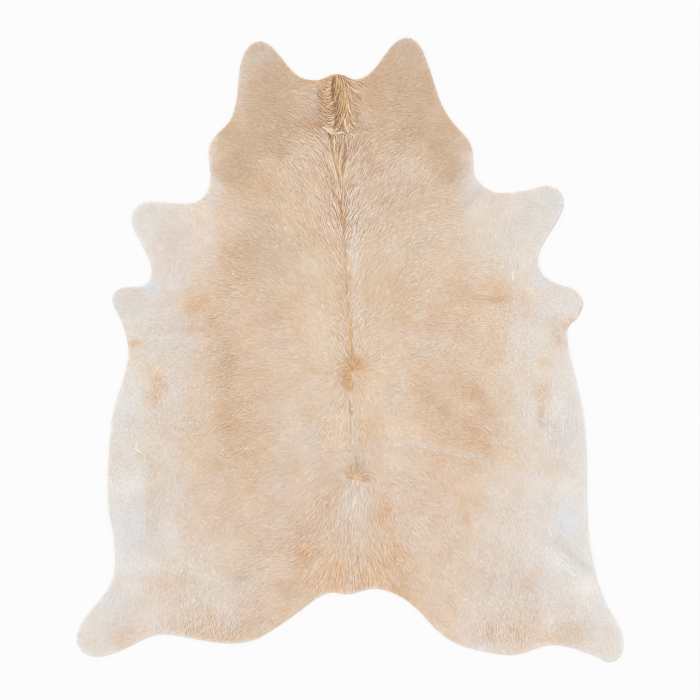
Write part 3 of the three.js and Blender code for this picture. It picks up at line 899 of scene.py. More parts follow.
stray = sum(
    height * np.stack([drift(chart_points, spacing), drift(chart_points, spacing)], 1)
    for height, spacing in WANDER_HILLS
)
painted = paint(chart_points + PATCH_WANDER * stray, rim, comb(chart_points + stray)[3])
warm = ((1 - painted[:, 2] / painted[:, 0]) / FULL_WARMTH).clip(0.2, 1.2)
mottle = drifts(chart_points, MOTTLE_HILLS) * mix(CALM_MOTTLE, 1, warm)
painted *= (1 + MOTTLE * mottle[:, None]) ** SHADE_BY_COLOUR
tinge = warm * drifts(chart_points, TINGE_HILLS)
painted *= 1 + TINGE * tinge[:, None] * TINGE_BY_COLOUR
tone_charts = [channel.reshape(gap_chart.shape) for channel in painted.T]


def coat_tone(points):
    """The tone of the coat at these points, with its mottles and patches."""
    return np.stack([read_chart(chart, points) for chart in tone_charts], 1)


def deep_tone(points):
    """The tone of hair that lies under other hair, with what it loses of the light given back."""
    lost = LOST_LIGHT * read_chart(contrast_chart, points)[:, None].clip(0, MOST_CONTRAST)
    return (coat_tone(points) * (1 + lost)).clip(0, PALEST)


print("the coat's mean tone is", painted[gap_chart.ravel() > 0].mean(0).round(2))

# %% [markdown]
# Hair on a hide lies in small clumps, whose locks start side by side and end in one point. So the
# coat starts as a scatter of clumps: a net of points, each moved a little by chance. A clump takes
# its direction, length and tone from the charts, and a small turn and shade of its own.
# Where paler strands will lie on it, the short coat is a little darker.

# %% Clumps
CLUMP_PITCH = 0.0066
CLUMP_MARGIN = 0.002  # clumps may stand this far past the edge
CLUMP_TURN = 4  # degrees
CLUMP_SHADE = 0.15
LOCKS_TO_A_CLUMP = 3
TONE_STRAY = 0.003  # within this distance clumps and strands of neighbouring tones stand mixed
SHORT_COAT_DARKER = 0.05  # where paler strands lie on it
STRANDS_FROM = 0.5  # the contrast from which strands lie on it
STRANDS_SPAN = 0.8  # and how much more makes them dense


def strand_share(contrast):
    """How closely strands lie over the short coat, from 0 to 1: only where the locks differ enough."""
    return ease((contrast - STRANDS_FROM) / STRANDS_SPAN)


columns = np.arange(cad_low.x, cad_high.x, CLUMP_PITCH)
rows = np.arange(cad_low.y, cad_high.y, CLUMP_PITCH * math.sqrt(0.75))
clumps = np.stack(np.meshgrid(columns, rows), 2)
clumps[1::2, :, 0] += CLUMP_PITCH / 2
clumps = clumps.reshape(-1, 2) + luck.uniform(-0.5, 0.5, (clumps.size // 2, 2)) * CLUMP_PITCH
clumps = clumps[read_chart(gap_chart, clumps) > -CLUMP_MARGIN]
contrast = read_chart(contrast_chart, clumps)
turn = np.radians(CLUMP_TURN) * (0.4 + contrast) * luck.normal(0, 1, len(clumps))
way = turned(lie(clumps), turn[:, None])
shade = 1 + CLUMP_SHADE * contrast**1.2 * luck.uniform(-1, 1, len(clumps))
shade *= 1 - SHORT_COAT_DARKER * strand_share(contrast)
tone = shade_partings(clumps, deep_tone(clumps + luck.normal(0, TONE_STRAY, clumps.shape)))
gone = parting_share(clumps)
print(f"{len(clumps)} clumps, {len(clumps) * LOCKS_TO_A_CLUMP} locks")

# %% [markdown]
# Each lock is a thin spike with a ridge along its back, so that light finds a bright and a dark side
# on it, as on a pinch of real hair. It starts on the leather and ends at the top of the coat.
# Numpy arrays make them all at once. A lock whose tip would pass the cut edge is made shorter.

# %% Shape of a lock
def beside(line):
    """The step of length 1 to the left of each point of the lines."""
    run = np.gradient(line, axis=1)
    return left_of(run / np.maximum(np.linalg.norm(run, axis=2, keepdims=True), TINY))


def lock_points(line, width, rise, ridge):
    """The points of locks along their lines: left, right and ridge at each station, then the tip.

    The ridge is given as a share of the lock's width."""
    count, stations = line.shape[0], line.shape[1] - 1
    half = beside(line) * width[:, :, None] / 2
    flat = line.reshape(-1, 2)
    base = read_chart(leather_chart, flat).reshape(line.shape[:2])
    top = read_chart(coat_chart, flat).reshape(line.shape[:2])
    height = base + (top - base) * rise
    points = np.zeros((count, 3 * stations + 1, 3))
    for corner, corners in enumerate((line + half, line - half, line)):
        points[:, corner:-1:3, :2] = corners[:, :-1]
        points[:, corner:-1:3, 2] = height[:, :-1]
    points[:, 2:-1:3, 2] += ridge[:, None] * width[:, :-1]
    points[:, -1, :2] = line[:, -1]
    points[:, -1, 2] = height[:, -1]
    return points


def lock_faces(stations):
    """The triangles on the two sides of a lock's ridge, facing up and outwards."""
    faces = []
    for left in range(0, 3 * stations, 3):
        right, ridge = left + 1, left + 2
        if ridge + 1 == 3 * stations:
            faces += [(left, ridge, ridge + 1), (ridge, right, ridge + 1)]
        else:
            faces += [(left, ridge, ridge + 3), (left, ridge + 3, left + 3)]
            faces += [(ridge, right, right + 3), (ridge, right + 3, ridge + 3)]
    return np.array(faces)


print(f"a straight lock has {len(lock_faces(1))} triangles, one along five steps {len(lock_faces(5))}")

# %% Locks of the short coat
CLUMP_HALF_WIDTH = 0.0028
CLUMP_HALF_LENGTH = 0.006
TIP_GATHER = 0.4  # share of the clump's width that is left at its tip
LENGTH_SHARE = 1.35  # the longest locks, as a share of the guide hairs
LOCK_TURN = 4  # degrees
EDGE_OVERHANG = 0.0015  # how far tips reach past the cut edge at most
ROOT_MARGIN = 0.001  # roots keep this far inside it
STUB = 0.15  # a lock cut to less than this share of its length is left out

clump_of = np.repeat(np.arange(len(clumps)), LOCKS_TO_A_CLUMP)
count = len(clump_of)
sideways = luck.normal(0, 0.5, count).clip(-1, 1) * CLUMP_HALF_WIDTH
lengthways = luck.uniform(-1, 1, count) * CLUMP_HALF_LENGTH
ahead = way[clump_of]
roots = clumps[clump_of] + ahead * lengthways[:, None] + left_of(ahead) * sideways[:, None]
length = LENGTH_SHARE * read_chart(length_chart, clumps)[clump_of] * luck.uniform(0.7, 1, count)
gather = sideways * (1 - TIP_GATHER) - np.radians(LOCK_TURN) * luck.normal(0, 1, count) * length
tips = roots + ahead * length[:, None] - left_of(ahead) * gather[:, None]

root_gap = read_chart(gap_chart, roots)
tip_gap = read_chart(gap_chart, tips)
allowed = EDGE_OVERHANG * luck.uniform(-1, 1, count)
cut_to = (root_gap + allowed) / np.maximum(root_gap - tip_gap, TINY)
share = np.where(tip_gap < -allowed, cut_to, 1)
tips = roots + (tips - roots) * np.clip(share, 0, 1)[:, None]
kept = (root_gap > ROOT_MARGIN) & (share > STUB) & (luck.uniform(0, 1, count) > gone[clump_of])
print(f"{kept.sum()} locks kept")

# %% [markdown]
# The coat is split in pieces along the animal, so that none is too heavy to handle.
# Each lock brings its own small cell on a map, laid out in the order in which the locks lie on the hide,
# so that whoever bakes the colours finds neighbours on the hide next to each other on the map.
# A vertex attribute carries the tone, with painted shade and painted light: darker and warmer at the
# roots, where hair shades hair, and paler at the tips, which lie on top in more light.

# %% Pieces of the coat
CELL_MARGIN = 0.12  # left free round each lock's cell, as a share of the cell


def map_cells(points):
    """The lower left corner of each lock's cell on the map, and the size of a cell."""
    side = math.ceil(math.sqrt(len(points)))
    column = np.empty(len(points), int)
    column[np.argsort(points[:, 0], kind="stable")] = np.arange(len(points)) // side
    order = np.lexsort((points[:, 1], column))
    row = np.empty(len(points), int)
    first = np.searchsorted(column[order], np.arange(side))
    row[order] = np.arange(len(points)) - first[column[order]]
    return np.stack([column, row], 1) / side, 1 / side


def shares_along(points):
    """How far along its lock each point lies, from 0 at the root to 1 at the tip."""
    stations = points.shape[1] // 3
    return np.append(np.repeat(np.arange(stations), 3), stations) / stations


def set_coat_colours(data, colours):
    """The colour of each point of a mesh, as the attribute that the materials read."""
    colours = np.concatenate([colours, np.ones((*colours.shape[:-1], 1))], -1)
    data.color_attributes.new("coat", "FLOAT_COLOR", "POINT")
    data.color_attributes["coat"].data.foreach_set("color", colours.astype(np.float32).ravel())


def make_coat_piece(name, points, colours, material):
    """One mesh of many locks, with a colour for each point."""
    count, corners = points.shape[:2]
    stations = corners // 3
    faces = (lock_faces(stations) + corners * np.arange(count)[:, None, None]).reshape(-1, 3)
    data = bpy.data.meshes.new(name)
    data.vertices.add(corners * count)
    data.vertices.foreach_set("co", points.astype(np.float32).ravel())
    data.loops.add(faces.size)
    data.loops.foreach_set("vertex_index", faces.astype(np.int32).ravel())
    data.polygons.add(len(faces))
    data.polygons.foreach_set("loop_start", np.arange(0, faces.size, 3, dtype=np.int32))
    data.update(calc_edges=True)
    set_coat_colours(data, colours)
    sideways = np.append(np.tile([0, 1, 0.5], stations), 0.5)
    spots = np.stack([sideways, shares_along(points)], 1) * (1 - 2 * CELL_MARGIN) + CELL_MARGIN
    corner, size = map_cells(points[:, -1, :2])
    cells = (corner[:, None, :] + spots * size).reshape(-1, 2)
    along_lock = np.tile(spots, (count, 1)) + np.repeat(luck.uniform(0, 50, (count, 1)), corners, 0)
    for layer, where in (("OFBake", cells), ("lock", along_lock)):
        data.uv_layers.new(name=layer)
        data.uv_layers[layer].data.foreach_set("uv", where[faces.ravel()].astype(np.float32).ravel())
    data.shade_smooth()
    data.materials.append(material)
    piece = add_object(name, data)
    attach(piece, "root")
    print(f"{name}: {count} locks, {len(faces)} triangles")
    return piece


# %% [markdown]
# Hair has a soft gloss, and within one lock single hairs show as fine lines along it. A noise that is
# stretched along each lock's own small map makes its tone now lighter, now darker across the lock.
# The leather below takes its tone in the same way, with a grain in place of the lines, so the nodes
# for that are laid by one function.

# %% Hair material
def set_inputs(node, **values):
    """Values for a node's inputs, by their names with _ for a space."""
    for name, value in values.items():
        node.inputs[name.replace("_", " ")].default_value = value


def new_material(name, **values):
    """A node material: its node tree, and its main shader with these values for its inputs."""
    material = bpy.data.materials.new(name)
    material.use_nodes = True
    shader = material.node_tree.nodes["Principled BSDF"]
    set_inputs(shader, **values)
    return material, material.node_tree, shader


def add_node(tree, kind, **values):
    """A new node of a kind, with values for its inputs."""
    node = tree.nodes.new(f"ShaderNode{kind}")
    set_inputs(node, **values)
    return node


def wire(tree, *links):
    """Links from one node's output to another's input, each by name or by number."""
    for start, output, end, socket in links:
        tree.links.new(start.outputs[output], end.inputs[socket])


def colour_by_coat(tree, shader, noise, **span):
    """The piece's own tone, lighter and darker by a noise, as the shader's colour."""
    own_tone = add_node(tree, "Attribute")
    own_tone.attribute_name = "coat"
    change = add_node(tree, "MapRange", **span)
    tint = add_node(tree, "VectorMath")
    tint.operation = "SCALE"
    wire(
        tree,
        (noise, "Fac", change, "Value"),
        (own_tone, "Color", tint, 0),
        (change, "Result", tint, "Scale"),
        (tint, "Vector", shader, "Base Color"),
    )


hair_material, tree, shader = new_material(
    "short_hair", Roughness=0.55, Specular_IOR_Level=0.35, Sheen_Weight=0.15
)
lock_map = add_node(tree, "UVMap")
lock_map.uv_map = "lock"
stretch = add_node(tree, "Mapping", Scale=(9, 0.6, 1))
single_hairs = add_node(tree, "TexNoise", Scale=1, Detail=1)
wire(tree, (lock_map, "UV", stretch, "Vector"), (stretch, "Vector", single_hairs, "Vector"))
colour_by_coat(tree, shader, single_hairs, From_Min=0.3, From_Max=0.7, To_Min=0.9, To_Max=1.08)
print("the hair's material has", len(tree.nodes), "nodes")

# %% [markdown]
# Now the short coat is made: every lock gets its width, the height of its tip and its tone, and then
# goes to the first of the five regions that it lies in.

# %% The short coat
LOCK_WIDTH = 0.0026
TIP_RISE = 0.8  # how high tips lie, as a share of the coat's height
TIP_STRAY = 0.25  # how far they may lie above or below that where the contrast is full
LOCK_SHADE = 0.05
# painted shade at the roots and painted light at the tips
ROOTS_PAINTED_SHADE, TIPS_PAINTED_LIGHT = 0.2, 0.06  # where the contrast is full
CALM_RIDGE = 0.08  # a lock's ridge as a share of its width
RIDGE_BY_CONTRAST = 0.2
NECK_ENDS = 0.19 * RUG_LENGTH  # ahead of this is the head and the neck
CROUP_STARTS = -0.16 * RUG_LENGTH
SIDES_START = 0.16 * RUG_WIDTH


def root_to_tip(points, tone, contrast):
    """The colours of locks' points, with painted shade at the root and painted light at the tip."""
    share = shares_along(points)[None, :] ** 0.7
    change = contrast[:, None] * (share * TIPS_PAINTED_LIGHT - (1 - share) * ROOTS_PAINTED_SHADE)
    return tone[:, None, :] * (1 + change[:, :, None]) ** SHADE_BY_COLOUR


lock_contrast = contrast[clump_of]
lock_width = LOCK_WIDTH * luck.uniform(0.75, 1.25, count)
tip_rise = TIP_RISE + TIP_STRAY * lock_contrast.clip(0, 1) * luck.uniform(-1, 1, count)
lock_shade = shade[clump_of] * (1 + LOCK_SHADE * lock_contrast * luck.uniform(-1, 1, count))
lock_tone = tone[clump_of] * lock_shade[:, None] ** SHADE_BY_COLOUR
line = np.stack([roots, tips], 1)[kept]
width = np.stack([lock_width, lock_width], 1)[kept]
rise = np.stack([np.zeros(count), tip_rise], 1)[kept]
ridge = (CALM_RIDGE + RIDGE_BY_CONTRAST * lock_contrast)[kept]
points = lock_points(line, width, rise, ridge)
colours = root_to_tip(points, lock_tone[kept], lock_contrast[kept].clip(0.15, MOST_CONTRAST))
at = roots[kept]
out, side = from_spine(at)
regions = {
    "hair_head_and_neck": at[:, 1] > NECK_ENDS,
    "hair_left_side": (side < 0) & (out > SIDES_START),
    "hair_right_side": (side > 0) & (out > SIDES_START),
    "hair_back": at[:, 1] > CROUP_STARTS,
    "hair_croup": np.ones(len(at), bool),
}
free = np.ones(len(at), bool)
for name, region in regions.items():
    chosen = free & region
    free &= ~region
    make_coat_piece(name, points[chosen], colours[chosen], hair_material)

# %% [markdown]
# Longer hair keeps together in strands. The crest of the neck has the longest: it falls from the poll
# in a stream, sweeps out to both sides and ends in a collar, where it meets the hair of the neck coming
# the other way. It is given as sheets of strands. The columns are the place, the number of
# strands, the share of the whole way that one strand covers, its width in mm, how high it lies as a
# share of the coat's height, their contrast, how much of their tone is their own and not the coat's,
# their tones at the root and at the tip, and curves from one side of the sheet to the other. Each curve
# runs through four points, across and along, and the strands lie between neighbouring curves.

# %% Sheets of the crest and collar
SHEETS = [
    ("left sweeps", 64, 0.55, 4.0, 1.0, 1.2, 1.0, "gold", "cream", [
        [(-3.1, 43.8), (-3.4, 43.4), (-3.8, 43.1), (-4.2, 42.7)],
        [(-3.1, 43.1), (-3.6, 42.3), (-4.4, 41.9), (-5.3, 42.3)],
        [(-3.2, 42.1), (-3.9, 41.3), (-4.8, 41.3), (-6.0, 42.1)],
        [(-3.2, 41.1), (-4.0, 40.5), (-5.0, 40.7), (-6.1, 41.7)],
        [(-3.1, 40.1), (-3.9, 39.4), (-5.0, 39.7), (-6.3, 40.8)],
        [(-2.7, 39.4), (-3.6, 38.6), (-4.8, 38.9), (-6.2, 39.9)],
        [(-2.6, 38.8), (-3.4, 37.7), (-4.6, 38.1), (-5.9, 39.3)],
        [(-2.6, 37.9), (-3.5, 36.8), (-4.6, 37.1), (-5.9, 38.0)],
        [(-2.7, 37.1), (-3.6, 36.0), (-4.6, 36.2), (-5.7, 36.9)],
        [(-2.8, 36.3), (-3.4, 35.5), (-4.2, 35.3), (-5.3, 35.7)],
    ]),
    ("middle stream", 48, 0.3, 3.8, 1.0, 1.5, 1.0, "gold", "straw", [
        [(-2.7, 44.1), (-3.0, 42.3), (-3.1, 40.8), (-3.2, 40.0)],
        [(-2.4, 44.1), (-2.3, 42.0), (-2.6, 40.1), (-3.3, 38.8)],
        [(-2.2, 44.0), (-1.8, 41.7), (-2.1, 39.2), (-3.1, 36.8)],
        [(-2.0, 44.0), (-1.2, 41.3), (-1.5, 38.1), (-2.9, 35.2)],
        [(-1.8, 44.0), (-0.8, 41.1), (-0.9, 37.9), (-2.0, 34.9)],
        [(-1.5, 43.9), (-0.6, 41.1), (-0.6, 37.6), (-0.9, 34.7)],
    ]),
    ("right fan", 70, 0.5, 3.8, 1.0, 1.3, 1.0, "gold", "cream", [
        [(-1.2, 43.8), (0.0, 43.3), (1.4, 42.7), (2.9, 42.2)],
        [(-1.4, 43.8), (-0.3, 42.9), (0.8, 41.9), (2.1, 41.2)],
        [(-1.3, 43.3), (-0.3, 42.0), (0.7, 40.8), (2.1, 40.1)],
        [(-1.1, 42.4), (-0.2, 40.8), (0.6, 39.6), (2.0, 39.0)],
        [(-0.8, 41.2), (-0.2, 39.6), (0.6, 38.4), (2.0, 37.9)],
        [(-0.8, 40.0), (-0.2, 38.4), (0.6, 37.2), (2.0, 36.7)],
        [(-0.8, 38.8), (-0.2, 37.2), (0.5, 36.0), (1.8, 35.5)],
        [(-0.8, 37.6), (-0.4, 36.1), (0.2, 35.1), (1.4, 34.7)],
    ]),
    ("collar, left", 7, 0.8, 4.6, 1.3, 0.5, 1.0, "straw", "cream", [
        [(-5.1, 35.8), (-4.4, 35.5), (-3.7, 35.0), (-3.1, 34.5)],
        [(-5.2, 35.6), (-4.4, 35.3), (-3.7, 34.8), (-3.1, 34.4)],
    ]),
    ("collar, left tip", 5, 0.8, 4.6, 1.35, 0.5, 1.0, "straw", "straw", [
        [(-3.8, 35.6), (-3.6, 35.2), (-3.4, 34.8), (-3.1, 34.5)],
        [(-2.4, 35.6), (-2.6, 35.2), (-2.8, 34.8), (-3.0, 34.5)],
    ]),
    ("collar, middle", 7, 0.7, 4.6, 1.25, 0.6, 1.0, "straw", "cream", [
        [(-3.1, 34.5), (-2.4, 34.7), (-1.8, 34.9), (-1.1, 34.9)],
        [(-3.0, 34.4), (-2.3, 34.5), (-1.7, 34.7), (-1.0, 34.7)],
    ]),
    ("collar, thick lock", 5, 0.8, 5.0, 1.3, 0.4, 1.0, "straw", "straw", [
        [(-1.3, 37.2), (-1.1, 36.5), (-0.8, 35.5), (-0.2, 34.6)],
        [(-1.1, 37.2), (-0.9, 36.4), (-0.5, 35.6), (-0.1, 34.7)],
    ]),
    ("collar, right", 6, 0.7, 4.4, 1.25, 0.6, 1.0, "straw", "cream", [
        [(-0.3, 34.6), (0.3, 34.5), (0.9, 34.6), (1.5, 34.9)],
        [(-0.2, 34.5), (0.4, 34.4), (1.0, 34.4), (1.6, 34.7)],
    ]),
    ("below the collar, left", 14, 0.6, 4.0, 1.0, 0.9, 1.0, "sand", "wheat", [
        [(-2.4, 26.7), (-3.3, 28.5), (-4.3, 30.3), (-5.1, 31.9)],
        [(-2.1, 27.4), (-2.5, 29.4), (-3.0, 32.1), (-3.4, 34.2)],
    ]),
    ("below the collar, middle", 16, 0.6, 4.0, 1.05, 0.9, 1.0, "straw", "butter", [
        [(-2.1, 27.4), (-2.5, 29.4), (-3.0, 32.1), (-3.4, 34.2)],
        [(-2.0, 27.6), (-2.3, 29.6), (-2.5, 31.7), (-2.3, 33.8)],
        [(-1.9, 28.0), (-1.6, 29.6), (-1.4, 31.3), (-1.2, 33.0)],
    ]),
    ("below the collar, right", 24, 0.6, 4.0, 1.0, 0.9, 1.0, "sand", "wheat", [
        [(-1.6, 27.4), (-1.3, 29.0), (-0.8, 30.1), (-0.2, 31.7)],
        [(-1.3, 26.7), (-0.6, 28.1), (0.2, 29.6), (1.0, 31.0)],
        [(-1.0, 25.3), (0.0, 27.1), (1.0, 28.7), (2.0, 30.3)],
    ]),
]
print(f"{len(SHEETS)} sheets at the crest and the collar")

# %% [markdown]
# Along the spine single strands lie beside the parting. The two whorls have short rays, and behind the
# rear one the hair spreads in a cream fan.

# %% Sheets of the spine and whorls
SHEETS += [
    ("spine before the front whorl", 4, 0.5, 3.0, 1.0, 0.9, 1.0, "gold", "straw", [
        [(0.5, -1.9), (0.2, 0.3), (0.0, 2.6), (-0.2, 4.6)],
        [(0.7, -1.9), (0.5, 0.3), (0.4, 2.6), (0.2, 4.2)],
    ]),
    ("front whorl, upper", 9, 0.9, 2.4, 1.0, 0.5, 1.0, "amber", "gold", [
        [(0.8, -3.0), (0.2, -2.4), (-0.2, -1.9), (-0.6, -1.3)],
        [(0.9, -2.9), (0.6, -2.1), (0.5, -1.5), (0.4, -0.9)],
        [(1.0, -2.9), (1.1, -2.2), (1.2, -1.6), (1.4, -1.0)],
        [(1.2, -3.0), (1.5, -2.5), (1.8, -2.0), (2.3, -1.5)],
        [(1.4, -3.3), (1.9, -3.3), (2.3, -3.4), (2.9, -3.6)],
    ]),
    ("front whorl, left", 15, 0.9, 2.4, 1.0, 0.5, 0.9, "amber", "gold", [
        [(0.4, -4.1), (-0.3, -3.7), (-0.8, -3.4), (-1.4, -3.1)],
        [(0.3, -4.3), (-0.4, -4.3), (-1.1, -4.4), (-1.9, -4.4)],
        [(0.2, -4.6), (-0.4, -4.9), (-1.0, -5.2), (-1.7, -5.5)],
        [(0.2, -4.8), (-0.3, -5.3), (-0.6, -5.8), (-1.0, -6.3)],
        [(0.3, -5.0), (0.1, -5.6), (0.0, -6.2), (-0.2, -6.8)],
        [(0.6, -5.0), (0.6, -5.6), (0.6, -6.2), (0.6, -6.8)],
    ]),
    ("spine behind the front whorl", 2, 0.7, 2.4, 1.0, 0.9, 1.0, "sand", "sand", [
        [(0.1, -6.6), (-0.1, -8.0), (0.0, -9.4), (0.2, -10.6)],
        [(0.3, -6.6), (0.2, -8.0), (0.3, -9.4), (0.5, -10.6)],
    ]),
    ("spine of the loin", 4, 0.5, 2.8, 1.0, 0.45, 1.0, "sand", "wheat", [
        [(0.1, -10.6), (0.2, -12.8), (0.1, -15.0), (0.1, -17.5)],
        [(-0.5, -10.9), (-0.6, -13.0), (-0.6, -15.0), (-0.6, -17.0)],
    ]),
    ("rear whorl, rays to the left", 4, 0.8, 2.6, 1.0, 0.5, 0.8, "amber", "sand", [
        [(0.9, -20.4), (0.4, -20.0), (0.0, -19.7), (-0.5, -19.3)],
        [(0.8, -20.6), (0.2, -20.4), (-0.3, -20.3), (-0.9, -20.3)],
    ]),
    ("rear whorl, rays up", 14, 0.7, 2.4, 1.0, 0.45, 0.6, "gold", "cream", [
        [(0.7, -20.0), (0.2, -19.4), (-0.1, -18.8), (-0.3, -18.2)],
        [(1.0, -19.9), (0.9, -19.2), (0.8, -18.6), (0.8, -17.9)],
        [(1.4, -19.9), (1.7, -19.3), (2.0, -18.8), (2.3, -18.2)],
        [(1.7, -20.1), (2.3, -19.7), (2.9, -19.4), (3.6, -19.1)],
    ]),
    ("rear whorl, rays to the right", 4, 0.8, 2.6, 1.0, 0.5, 0.8, "amber", "sand", [
        [(1.2, -20.6), (2.0, -20.5), (2.8, -20.4), (3.7, -20.3)],
        [(1.3, -20.9), (2.0, -21.1), (2.6, -21.2), (3.3, -21.4)],
    ]),
    ("cream fan", 24, 0.4, 3.0, 0.95, 0.15, 0.3, "wheat", "cream", [
        [(0.5, -20.7), (-0.3, -21.7), (-1.1, -23.0), (-1.7, -24.4)],
        [(0.7, -20.7), (0.2, -21.9), (-0.3, -23.5), (-0.6, -25.3)],
        [(1.0, -20.8), (0.8, -22.1), (0.6, -23.9), (0.4, -26.0)],
        [(1.2, -20.8), (1.4, -22.1), (1.5, -23.9), (1.5, -26.0)],
        [(1.5, -20.7), (2.0, -21.7), (2.3, -23.1), (2.6, -24.9)],
        [(1.9, -20.7), (2.5, -21.5), (3.2, -22.6), (3.7, -24.0)],
    ]),
]
print(f"{len(SHEETS)} sheets with those of the spine and the whorls")
